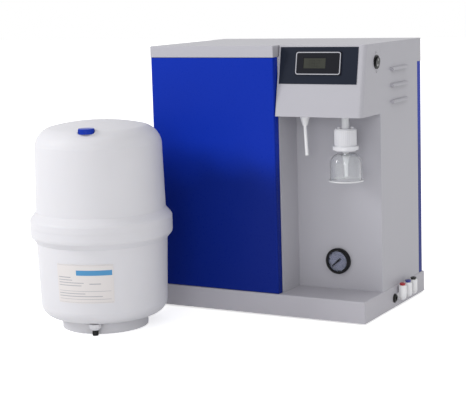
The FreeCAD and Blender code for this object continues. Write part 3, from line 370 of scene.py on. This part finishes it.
TANK_WHITE = finish("tank_moulded_white", (0.62, 0.615, 0.645), 0.5, grain=420, bump=0.1,
                    patch=0.965, patch_scale=14, sub=0.2, gloss=0.22)
CAP_BLUE = finish("cap_blue", (0.006, 0.032, 0.33), 0.34, grain=1500, bump=0.06,
                  patch=0.85, edge=0.4, gloss=0.15)
KNOB_BLACK = finish("knob_black", (0.006, 0.006, 0.007), 0.4, grain=1500, bump=0.1,
                    patch=0.8, edge=0.5, gloss=0.25)
LABEL_FILM = finish("label_film", (0.62, 0.59, 0.585), 0.42, bump=0.02, patch=0.97)
LABEL_BAR = finish("label_bar_blue", (0.055, 0.24, 0.46), 0.4, bump=0.02, patch=0.9)
LABEL_LINE = finish("label_line_grey", (0.33, 0.33, 0.37), 0.45, bump=0.02, patch=0.85)
RUBBER_BLACK = finish("rubber_black", (0.02, 0.02, 0.02), 0.6, bump=0.2, patch=0.8)
BRASS = finish("turned_brass", (0.6, 0.42, 0.16), 0.28, grain=800, bump=0.08, patch=0.85,
               metallic=1.0)
ZINC_SHEET = finish("zinc_sheet", (0.5, 0.51, 0.52), 0.36, grain=300, bump=0.08,
                    patch=0.85, patch_scale=30, metallic=1.0)
HOUSING_WHITE = finish("housing_white", (0.66, 0.66, 0.66), 0.4, bump=0.08)
SUPPLY_METAL = finish("supply_metal", (0.55, 0.55, 0.56), 0.4, grain=500, bump=0.1,
                      metallic=1.0)
CIRCUIT_GREEN = finish("circuit_green", (0.012, 0.13, 0.04), 0.3, bump=0.1, patch=0.7,
                       patch_scale=200)
PUMP_BLACK = finish("pump_black", (0.02, 0.02, 0.022), 0.45, grain=700, bump=0.2,
                    patch=0.8)
CARTRIDGE_BLUE = finish("cartridge_blue", (0.2, 0.33, 0.62), 0.35, bump=0.06)
# Painted shade: the dark inside of a screw's crossed recess.
RECESS_PAINTED_SHADE = finish("recess_painted_shade", (0.03, 0.03, 0.035), 0.7, bump=0.1)

SLOT_FINISH = {
    "grey_paint": GREY_POWDER,
    "base_paint": BASE_POWDER,
    "blue_paint": BLUE_ENAMEL,
    "foot_rubber": FOOT_RUBBER,
    "black_panel": BLACK_FILM,
    "meter_black": METER_BLACK,
    "lcd_window": LCD_OLIVE,
    "switch_black": SWITCH_BLACK,
    "screw_steel": SCREW_ZINC,
    "gauge_black": GAUGE_BLACK,
    "gauge_dial": DIAL_CARD,
    "gauge_needle": DIAL_INK,
    "clear_lens": LENS_CLEAR,
    "white_fitting": FITTING_WHITE,
    "white_tube": TUBE_WHITE,
    "capsule_white": CAPSULE_WHITE,
    "clear_plastic": BELL_CLEAR,
    "gland_black": GLAND_BLACK,
    "collet_red": COLLET_RED,
    "collet_blue": COLLET_BLUE,
    "collet_black": COLLET_BLACK,
    "board_zinc": ZINC_SHEET,
    "housing_white": HOUSING_WHITE,
    "clip_white": HOUSING_WHITE,
    "supply_metal": SUPPLY_METAL,
    "circuit_green": CIRCUIT_GREEN,
    "pump_black": PUMP_BLACK,
    "cartridge_blue": CARTRIDGE_BLUE,
    "valve_black": PUMP_BLACK,
    "tank_white": TANK_WHITE,
    "diaphragm_rubber": RUBBER_BLACK,
    "brass_stem": BRASS,
    "cap_blue": CAP_BLUE,
    "knob_black": KNOB_BLACK,
    "label_print": LABEL_FILM,
}
NODE_FINISH = {"outlet_tube": TUBE_CLEAR, "filter_stem": TUBE_CLEAR}


def dress_frame():
    slots = {part["node"]: part["material_slot"] for part in frame["record"]["subparts"]}
    for name, node in frame["nodes"].items():
        material = NODE_FINISH.get(name, SLOT_FINISH[slots[name]])
        if not node.material_slots:
            node.data.materials.append(material)
        for holder in node.material_slots:
            holder.material = material


# Mesh helpers for the added trim

UP = (0, 0, 1)
TO_FRONT = (0, -1, 0)
TO_BACK = (0, 1, 0)
TO_RIGHT = (1, 0, 0)


def mesh_from(name, build):
    sheet = bmesh.new()
    build(sheet)
    bmesh.ops.recalc_face_normals(sheet, faces=sheet.faces)
    mesh = bpy.data.meshes.new(name)
    sheet.to_mesh(mesh)
    sheet.free()
    return mesh


def piece(name, mesh, material, body="cabinet", smooth=False):
    mesh.materials.append(material)
    if smooth:
        for face in mesh.polygons:
            face.use_smooth = True
    made = bpy.data.objects.new(name, mesh)
    bpy.context.scene.collection.objects.link(made)
    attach(made, body)


def trim(name, build, material, body="cabinet", smooth=False):
    piece(name, mesh_from(name, build), material, body, smooth)


def facing(axis, up, spot):
    """A matrix at a spot whose Z points along axis and whose Y lies nearest to up."""
    ahead = Vector(axis).normalized()
    across = Vector(up).cross(ahead).normalized()
    level = ahead.cross(across)
    turn = Matrix((across, level, ahead)).transposed().to_4x4()
    return Matrix.Translation(spot) @ turn


def shifted(matrix, x, y, z):
    return matrix @ Matrix.Translation(Vector((x, y, z)) * MM)


def turned(matrix, degrees):
    return matrix @ Matrix.Rotation(math.radians(degrees), 4, "Z")


def upright(node, height):
    """The upright axis of a round node, from a height in metres."""
    centre = mid(node)
    return Matrix.Translation(Vector((centre.x, centre.y, height)))


def bridge(sheet, one, other):
    """Faces between two closed loops of as many points."""
    for step in range(len(one)):
        after = (step + 1) % len(one)
        sheet.faces.new((one[step], one[after], other[after], other[step]))


def lathe(sheet, profile, matrix, sides):
    """A turned shape: the closed profile's points are (radius, along the matrix's Z axis)."""
    rings = []
    for radius, along in profile:
        ring = []
        for step in range(sides):
            angle = math.tau * step / sides
            spot = Vector((radius * math.cos(angle), radius * math.sin(angle), along)) * MM
            ring.append(sheet.verts.new(matrix @ spot))
        rings.append(ring)
    for one, other in zip(rings, rings[1:] + rings[:1]):
        bridge(sheet, one, other)


def slab(sheet, matrix, low, high, bevel=0.0):
    """A block between two corners, with bevelled edges, set by a matrix."""
    size = Vector(high) - Vector(low)
    centre = (Vector(high) + Vector(low)) / 2
    shape = matrix @ Matrix.Translation(centre * MM) @ Matrix.Diagonal((*(size * MM), 1.0))
    made = bmesh.ops.create_cube(sheet, size=1.0, matrix=shape)
    if bevel:
        edges = list({edge for vert in made["verts"] for edge in vert.link_edges})
        bmesh.ops.bevel(sheet, geom=edges, offset=bevel * MM, segments=2, affect="EDGES",
                        profile=0.5)


def rib_ring(sheet, matrix, count, low, high, bevel):
    """Equal ribs round the matrix's Z axis. The corners are those of the first rib."""
    for step in range(count):
        slab(sheet, turned(matrix, 360 * step / count), low, high, bevel)


def rounded_frame(sheet, matrix, width, height, radius, line, depth):
    """A thin raised line round a rounded rectangle."""
    corner_steps = 6

    def loop(inset, lift):
        points = []
        for turn, (side, end) in enumerate(((1, 1), (-1, 1), (-1, -1), (1, -1))):
            for step in range(corner_steps + 1):
                angle = math.radians(90 * turn + 90 / corner_steps * step)
                x = side * (width / 2 - radius) + (radius - inset) * math.cos(angle)
                y = end * (height / 2 - radius) + (radius - inset) * math.sin(angle)
                points.append(sheet.verts.new(matrix @ (Vector((x, y, lift)) * MM)))
        return points

    loops = [loop(0, 0), loop(0, depth), loop(line, depth), loop(line, 0)]
    for one, other in zip(loops, loops[1:] + loops[:1]):
        bridge(sheet, one, other)


# Panel meter on the sloping head: border, window frame and digits

HEAD_SLOPE = math.atan2(26.0, 137.5)
WINDOW_TO_FACE = 0.95
# width, height, corner radius, line and thickness
METER_BORDER = (95, 44, 5, 1.8, 0.35)
WINDOW_FRAME = (49, 22, 1.5, 0.8, 0.25)
WINDOW_ACROSS = -7.5
PRINT_THICK = 0.05
DIGITS_DEPTH = -0.38
DIGITS_LEFT = -24
DIGITS_LOW = -6.5
DIGIT_PITCH = 10.5
DIGIT_TALL = 13
DIGIT_WIDE = DIGIT_TALL * 0.5
DIGIT_BAR = DIGIT_TALL * 0.09
DIGIT_GAP = 0.1
POINT_LOW = (-4.6, -6.4, 0)
POINT_HIGH = (-3.4, -5.2, PRINT_THICK)
DIGIT_BARS = {"1": "bc", "2": "abged", "8": "abcdefg"}
METER_READING = "182"


def meter_matrix():
    """Centre of the meter's front face: X across, Y up the slope, Z out of it."""
    out = Vector((0.0, -math.cos(HEAD_SLOPE), math.sin(HEAD_SLOPE)))
    up = Vector((0.0, math.sin(HEAD_SLOPE), math.cos(HEAD_SLOPE)))
    centre = mid("meter_window")
    centre.x = mid("meter_housing").x
    return facing(out, up, centre + out * WINDOW_TO_FACE * MM)


def segment_digit(sheet, matrix, left, low, text):
    """One numeral of a seven-bar display."""
    wide, bar, half = DIGIT_WIDE, DIGIT_BAR, DIGIT_TALL / 2
    spans = {
        "a": ((0, DIGIT_TALL - bar), (wide, DIGIT_TALL)),
        "b": ((wide - bar, half), (wide, DIGIT_TALL)),
        "c": ((wide - bar, 0), (wide, half)),
        "d": ((0, 0), (wide, bar)),
        "e": ((0, 0), (bar, half)),
        "f": ((0, half), (bar, DIGIT_TALL)),
        "g": ((0, half - bar / 2), (wide, half + bar / 2)),
    }
    for letter in DIGIT_BARS[text]:
        (x_low, y_low), (x_high, y_high) = spans[letter]
        slab(sheet, matrix,
             (left + x_low + DIGIT_GAP, low + y_low + DIGIT_GAP, 0),
             (left + x_high - DIGIT_GAP, low + y_high - DIGIT_GAP, PRINT_THICK))


def meter_trim():
    matrix = meter_matrix()

    def border(sheet):
        rounded_frame(sheet, matrix, *METER_BORDER)

    def window_frame(sheet):
        rounded_frame(sheet, shifted(matrix, WINDOW_ACROSS, 0, 0), *WINDOW_FRAME)

    def digits(sheet):
        face = shifted(matrix, 0, 0, DIGITS_DEPTH)
        for index, text in enumerate(METER_READING):
            segment_digit(sheet, face, DIGITS_LEFT + index * DIGIT_PITCH, DIGITS_LOW, text)
        slab(sheet, face, POINT_LOW, POINT_HIGH)

    trim("meter_border", border, PALE_PRINT)
    trim("meter_lcd_surround", window_frame, METER_BLACK)
    trim("meter_digits", digits, LCD_INK)


# Pressure gauge: marks, numbers, and the needle's hub and tail

DIAL_START = 225
DIAL_SWEEP = 270
DIAL_MARKS = 50
DIAL_NUMBERS = 5
MARK_LIFT = 0.12
MARK_RIM = 19.6
# every how many marks, length, half width
MARK_SIZES = ((10, 3.2, 0.45), (5, 2.2, 0.45), (1, 1.3, 0.18))
ARC_INNER = 19.8
ARC_OUTER = 20.2
NUMBER_RADIUS = 13.2
NUMBER_LIFT = 0.05
NUMBER_TALL = 3.4
NUMBER_THICK = 0.04
HUB_PROFILE = ((0.01, 0), (2.6, 0), (2.6, 0.3), (2.0, 0.5), (0.01, 0.55))
NEEDLE_TURN = 40
NEEDLE_BEVEL = 0.12
TAIL_CORNERS = ((0.5, -2.0, 0.0), (8.6, 2.0, 0.35))
POINTER_CORNERS = ((-9.0, -1.6, 0.0), (0.5, 1.6, 0.3))


def dial_matrix(node, centre_node):
    """A matrix on a node's front face, over another node's centre: X across and Y up."""
    spot = mid(centre_node)
    spot.y = corners(node)[0].y
    return facing(TO_FRONT, UP, spot)


def numeral(name, text, spot):
    """A printed numeral, turned into a thin mesh that stands on its face."""
    curve = bpy.data.curves.new(name, "FONT")
    curve.body = text
    curve.size = NUMBER_TALL * MM
    curve.extrude = NUMBER_THICK * MM
    curve.align_x = "CENTER"
    curve.align_y = "CENTER"
    letters = bpy.data.objects.new(name + "_curve", curve)
    bpy.context.scene.collection.objects.link(letters)
    letters.matrix_world = facing(TO_FRONT, UP, spot)
    bpy.context.view_layer.update()
    mesh = bpy.data.meshes.new_from_object(letters)
    mesh.transform(letters.matrix_world)
    bpy.data.objects.remove(letters)
    piece(name, mesh, DIAL_INK)


def gauge_trim():
    dial = dial_matrix("gauge_dial", "gauge_dial")
    hub = dial_matrix("gauge_needle", "gauge_case")
    needle = turned(hub, NEEDLE_TURN)

    def marks(sheet):
        for step in range(DIAL_MARKS + 1):
            reach, wide = next(size[1:] for size in MARK_SIZES if step % size[0] == 0)
            slab(sheet, turned(dial, DIAL_START - DIAL_SWEEP * step / DIAL_MARKS),
                 (MARK_RIM - reach, -wide, 0), (MARK_RIM, wide, MARK_LIFT))

    def arc(sheet):
        profile = ((ARC_OUTER, 0), (ARC_OUTER, MARK_LIFT), (ARC_INNER, MARK_LIFT), (ARC_INNER, 0))
        lathe(sheet, profile, dial, sides=96)

    def hub_and_tail(sheet):
        lathe(sheet, HUB_PROFILE, hub, sides=24)
        slab(sheet, needle, *TAIL_CORNERS, NEEDLE_BEVEL)
        slab(sheet, needle, *POINTER_CORNERS, NEEDLE_BEVEL)

    trim("gauge_ticks", marks, DIAL_INK)
    trim("gauge_arc", arc, DIAL_INK)
    for step in range(DIAL_NUMBERS + 1):
        angle = math.radians(DIAL_START - DIAL_SWEEP * step / DIAL_NUMBERS)
        spot = dial @ (Vector((NUMBER_RADIUS * math.cos(angle),
                               NUMBER_RADIUS * math.sin(angle), NUMBER_LIFT)) * MM)
        numeral("gauge_number_%d" % step, str(step * 2), spot)
    trim("needle_cap", hub_and_tail, DIAL_INK, body="needle", smooth=True)


# Rocker switch: on and off marks

ROCKER_TILT = math.radians(8)
ROCKER_FACE = 5.0
MARK_THICK = 0.12
ON_MARK_CORNERS = ((-0.45, 3.2, 0), (0.45, 7.2, MARK_THICK))
OFF_MARK_PROFILE = ((2.1, 0), (2.1, MARK_THICK), (1.4, MARK_THICK), (1.4, 0))
OFF_MARK_DROP = -5.2


def switch_trim():
    """The marks lie on the rocker's face, which leans with the rocker at rest."""
    out = (math.cos(ROCKER_TILT), 0, -math.sin(ROCKER_TILT))
    up = (math.sin(ROCKER_TILT), 0, math.cos(ROCKER_TILT))
    front = shifted(facing(out, up, mid("switch_rocker")), 0, 0, ROCKER_FACE)

    def on_mark(sheet):
        slab(sheet, front, *ON_MARK_CORNERS)

    def off_mark(sheet):
        lathe(sheet, OFF_MARK_PROFILE, shifted(front, 0, OFF_MARK_DROP, 0), sides=32)

    trim("rocker_on_mark", on_mark, MARK_WHITE, body="rocker")
    trim("rocker_off_mark", off_mark, MARK_WHITE, body="rocker")


# Screws: crossed recesses, drawn as dark crosses of painted shade, on the switch's screws, and the
# screws of the rear cover

CROSS_HALF = 0.25
CROSS_THICK = 0.22
SWITCH_CROSS = 1.3
REAR_CROSS = 1.5
REAR_CROSS_LIFT = 1.45
REAR_INSET_ACROSS = 12
REAR_INSET_UP = 14
PAN_HEAD = ((0.01, 0), (3.0, 0), (2.9, 0.7), (2.2, 1.35), (1.0, 1.6), (0.01, 1.62))


# Each recess is a thin dark cross laid on the head: painted shade where the hollow would be.
def cross_recess(name, matrix, reach):
    def cross(sheet):
        slab(sheet, matrix, (-reach, -CROSS_HALF, 0), (reach, CROSS_HALF, CROSS_THICK))
        slab(sheet, matrix, (-CROSS_HALF, -reach, 0), (CROSS_HALF, reach, CROSS_THICK))

    trim(name, cross, RECESS_PAINTED_SHADE)


def rear_screw(name, spot):
    matrix = facing(TO_BACK, UP, spot)

    def head(sheet):
        lathe(sheet, PAN_HEAD, matrix, sides=28)

    trim(name, head, SCREW_ZINC, smooth=True)
    cross_recess(name + "_cross", shifted(matrix, 0, 0, REAR_CROSS_LIFT), REAR_CROSS)


def screw_heads():
    for index in (1, 2):
        node = "switch_screw_%d" % index
        spot = mid(node)
        spot.x = corners(node)[1].x
        cross_recess("switch_screw_cross_%d" % index, facing(TO_RIGHT, UP, spot), SWITCH_CROSS)
    low, high = corners("rear_cover")
    centre = (low + high) / 2
    across, up = REAR_INSET_ACROSS * MM, REAR_INSET_UP * MM
    index = 0
    for x in (low.x + across, centre.x, high.x - across):
        for z in (low.z + up, centre.z, high.z - up):
            index += 1
            rear_screw("rear_screw_%d" % index, Vector((x, high.y, z)))


# Tap outlet: ribs, rings and vents of the filter capsule, and the bell's rim

# count, low and high corner of the first rib, bevel
CAPSULE_RIBS = (36, (21.0, -0.5, 12), (21.8, 0.5, 40), 0.15)
CAPSULE_RING_HEIGHTS = (10.6, 41.2)
CAPSULE_RING = ((21.2, -0.6), (21.9, -0.4), (21.9, 0.4), (21.2, 0.6))
VENT_TURNS = (20, 200)
VENT_ACROSS = 13
VENT_PROFILE = ((0.01, -0.5), (3.0, -0.5), (3.0, 2.6), (2.4, 3.2), (0.01, 3.2))
BELL_RIM_PROFILE = ((33.6, -0.3), (34.4, 0.2), (34.4, 2.4), (33.9, 2.9), (32.4, 2.9),
                    (34.05, 2.4), (34.05, 0.2))


def outlet_trim():
    low, high = corners("filter_capsule")

    def ribs(sheet):
        rib_ring(sheet, upright("filter_capsule", low.z), *CAPSULE_RIBS)

    def rim(sheet):
        foot = corners("filter_bell")[0].z
        lathe(sheet, BELL_RIM_PROFILE, upright("filter_capsule", foot), sides=96)

    def vents(sheet):
        for turn in VENT_TURNS:
            angle = math.radians(turn)
            vent = shifted(upright("filter_capsule", high.z),
                           VENT_ACROSS * math.cos(angle), VENT_ACROSS * math.sin(angle), 0)
            lathe(sheet, VENT_PROFILE, vent, sides=24)

    def rings(sheet):
        for height in CAPSULE_RING_HEIGHTS:
            ring = upright("filter_capsule", low.z + height * MM)
            lathe(sheet, CAPSULE_RING, ring, sides=64)

    trim("capsule_ribs", ribs, CAPSULE_WHITE)
    trim("bell_rim_edge", rim, BELL_RIM, body="bell", smooth=True)
    trim("capsule_vents", vents, CAPSULE_WHITE)
    trim("capsule_rings", rings, CAPSULE_WHITE, smooth=True)


# Cable gland: ridges round its nut, behind its outer face

# count, low and high corner of the first ridge, bevel
GLAND_RIBS = (16, (7.4, -0.5, -3.9), (9.3, 0.5, -2.1), 0.2)


def gland_trim():
    spot = mid("cable_gland")
    spot.x = corners("cable_gland")[1].x

    def ridges(sheet):
        rib_ring(sheet, facing(TO_RIGHT, UP, spot), *GLAND_RIBS)

    trim("gland_ridges", ridges, GLAND_BLACK)


# Storage tank: plain print on its label, the lip on its belt, and ribs on its cap and knob

WALL_LOW_RADIUS = 124.5
WALL_HIGH_RADIUS = 128.5
WALL_LOW_RISE = 48.0
WALL_HIGH_RISE = 172.0
LABEL_THICK = 0.6
INK_THICK = 0.06
STRIP_STEP = 1.5

# from and to in degrees, then from and to in height
BAR_STRIP = (-79.5, -48.2, 124.0, 134.0)
RULE_TURNS = (-98.0, -47.6)
RULE_HEIGHTS = (71.5, 143.2)
RULE_TALL = 0.35
LINE_LEFT = -97.0
LINE_TOP = 114.0
LINE_PITCH = 5.2
LINE_TALL = 1.3
# widths in degrees, by row from the top
LINE_WIDTHS = {0: 13.5, 1: 24.0, 2: 22.0, 5: 25.0, 6: 40.0}
THIN_LINE_ROWS = (4, 7)
THIN_LINE_WIDTH = 47.5
THIN_LINE_TALL = 0.7
SHORT_STRIPS = ((-68.0, -58.0, 107.0, 108.6), (-97.0, -85.0, 119.0, 120.6))

BELT_LIP = ((138.9, -0.5), (139.7, -0.3), (139.7, 0.3), (138.9, 0.5))
CAP_RIBS = 28
CAP_RIB_SUNK = 0.3
CAP_RIB_PROUD = 0.6
CAP_RIB_HALF = 0.6
CAP_RIB_END = 1.5
CAP_RIB_BEVEL = 0.2
# count, low and high corner of the first rib, bevel
KNOB_RIBS = (14, (5.2, -0.4, 2.2), (5.9, 0.4, 9.5), 0.1)


def wall_strip(sheet, turn_from, turn_to, low, high):
    """A thin strip on the label, between two angles in degrees and two heights."""
    tank = upright("tank_lower_shell", 0.0)
    taper = (WALL_HIGH_RADIUS - WALL_LOW_RADIUS) / (WALL_HIGH_RISE - WALL_LOW_RISE)
    steps = max(2, int((turn_to - turn_from) / STRIP_STEP))
    columns = []
    for step in range(steps + 1):
        angle = math.radians(turn_from + (turn_to - turn_from) * step / steps)
        column = []
        for height, out in ((low, 0.0), (low, INK_THICK), (high, INK_THICK), (high, 0.0)):
            radius = WALL_LOW_RADIUS + LABEL_THICK + (height - WALL_LOW_RISE) * taper + out
            spot = Vector((radius * math.cos(angle), radius * math.sin(angle), height)) * MM
            column.append(sheet.verts.new(tank @ spot))
        columns.append(column)
    for one, other in zip(columns, columns[1:]):
        bridge(sheet, one, other)
    sheet.faces.new(columns[0])
    sheet.faces.new(list(reversed(columns[-1])))


def label_trim():
    def bar(sheet):
        wall_strip(sheet, *BAR_STRIP)

    def text_line(sheet, row, width, tall):
        height = LINE_TOP - row * LINE_PITCH
        wall_strip(sheet, LINE_LEFT, LINE_LEFT + width, height, height + tall)

    def lines(sheet):
        for row, width in LINE_WIDTHS.items():
            text_line(sheet, row, width, LINE_TALL)
        for row in THIN_LINE_ROWS:
            text_line(sheet, row, THIN_LINE_WIDTH, THIN_LINE_TALL)
        for strip in SHORT_STRIPS:
            wall_strip(sheet, *strip)

    def rule(sheet):
        for height in RULE_HEIGHTS:
            wall_strip(sheet, *RULE_TURNS, height, height + RULE_TALL)

    trim("label_bar", bar, LABEL_BAR)
    trim("label_lines", lines, LABEL_LINE)
    trim("label_rule", rule, LABEL_LINE)


def tank_trim():
    seam = corners("tank_upper_shell")[0].z
    low, high = corners("tank_air_cap")
    cap_radius = (high.x - low.x) / 2 / MM
    cap_tall = (high.z - low.z) / MM

    def lip(sheet):
        lathe(sheet, BELT_LIP, upright("tank_lower_shell", seam), sides=160)

    def cap_ribs(sheet):
        rib_ring(sheet, upright("tank_air_cap", low.z), CAP_RIBS,
                 (cap_radius - CAP_RIB_SUNK, -CAP_RIB_HALF, CAP_RIB_END),
                 (cap_radius + CAP_RIB_PROUD, CAP_RIB_HALF, cap_tall - CAP_RIB_END),
                 CAP_RIB_BEVEL)

    def knob_ribs(sheet):
        rib_ring(sheet, upright("tank_outlet_knob", 0.0), *KNOB_RIBS)

    trim("tank_belt_lip", lip, TANK_WHITE, smooth=True)
    trim("cap_ribs", cap_ribs, CAP_BLUE, body="air_cap")
    trim("knob_ribs", knob_ribs, KNOB_BLACK, body="outlet_knob")


# Room, lights and background

WORLD_LIGHT = 0.8
FLOOR_GLOW = 0.62
FLOOR_PALE = (0.86, 0.86, 0.86)
FLOOR_PATCH = 0.99
FLOOR_PATCH_SCALE = 3.0
FLOOR_ROUGHNESS = 0.9
FLOOR_REACH_METRES = 12.0

LAMP_AIM = (200, 100, 250)
LAMPS = (
    # name, place, size in metres, power in watts
    ("left_key", (-1525, -1347, 1450), 0.7, 24),
    ("front_fill", (900, -2400, 800), 1.2, 12),
    ("right_fill", (2400, -700, 900), 1.2, 1.0),
)


def seen_directly(tree, strength):
    """Strength for camera, mirror and glass rays, and none for the light on the object."""
    path = tree.nodes.new("ShaderNodeLightPath")
    total = path.outputs["Is Camera Ray"]
    for kind in ("Is Glossy Ray", "Is Transmission Ray"):
        most = tree.nodes.new("ShaderNodeMath")
        most.operation = "MAXIMUM"
        tree.links.new(total, most.inputs[0])
        tree.links.new(path.outputs[kind], most.inputs[1])
        total = most.outputs[0]
    scaled = tree.nodes.new("ShaderNodeMath")
    scaled.operation = "MULTIPLY"
    scaled.inputs[1].default_value = strength
    tree.links.new(total, scaled.inputs[0])
    return scaled.outputs[0]


def floor_paint():
    """Pale paint that shows white to the camera, in mirrors and through glass, yet takes shadow."""
    material = bpy.data.materials.new("floor_pale")
    material.use_nodes = True
    tree = material.node_tree
    shader = tree.nodes["Principled BSDF"]
    shader.inputs["Roughness"].default_value = FLOOR_ROUGHNESS
    noise = tree.nodes.new("ShaderNodeTexNoise")
    noise.inputs["Scale"].default_value = FLOOR_PATCH_SCALE
    tint = tree.nodes.new("ShaderNodeMixRGB")
    tint.inputs["Color1"].default_value = (*FLOOR_PALE, 1)
    tint.inputs["Color2"].default_value = (*shade(FLOOR_PALE, FLOOR_PATCH), 1)
    tree.links.new(noise.outputs["Fac"], tint.inputs["Fac"])
    tree.links.new(tint.outputs["Color"], shader.inputs["Base Color"])
    shader.inputs["Emission Color"].default_value = (1, 1, 1, 1)
    tree.links.new(seen_directly(tree, FLOOR_GLOW), shader.inputs["Emission Strength"])
    return material


def room():
    def plane(sheet):
        bmesh.ops.create_grid(sheet, x_segments=1, y_segments=1, size=FLOOR_REACH_METRES)

    floor = bpy.data.objects.new("bench_floor", mesh_from("bench_floor", plane))
    floor.data.materials.append(floor_paint())
    bpy.context.scene.collection.objects.link(floor)
    world = bpy.data.worlds.new("studio")
    bpy.context.scene.world = world
    world.use_nodes = True
    tree = world.node_tree
    light = tree.nodes["Background"]
    light.inputs["Color"].default_value = (1, 1, 1, 1)
    base = tree.nodes.new("ShaderNodeMath")
    base.operation = "ADD"
    base.inputs[1].default_value = WORLD_LIGHT
    tree.links.new(seen_directly(tree, 1.0 - WORLD_LIGHT), base.inputs[0])
    tree.links.new(base.outputs[0], light.inputs["Strength"])


def lights():
    for name, place, size, power in LAMPS:
        data = bpy.data.lights.new(name, "AREA")
        data.shape = "SQUARE"
        data.size = size
        data.energy = power
        made = bpy.data.objects.new(name, data)
        made.location = at(*place)
        aim = at(*LAMP_AIM) - at(*place)
        made.rotation_euler = aim.to_track_quat("-Z", "Y").to_euler()
        bpy.context.scene.collection.objects.link(made)


bpy.context.scene.view_settings.view_transform = "Standard"
photo_camera()
dress_frame()
meter_trim()
gauge_trim()
switch_trim()
screw_heads()
outlet_trim()
gland_trim()
label_trim()
tank_trim()
room()
lights()
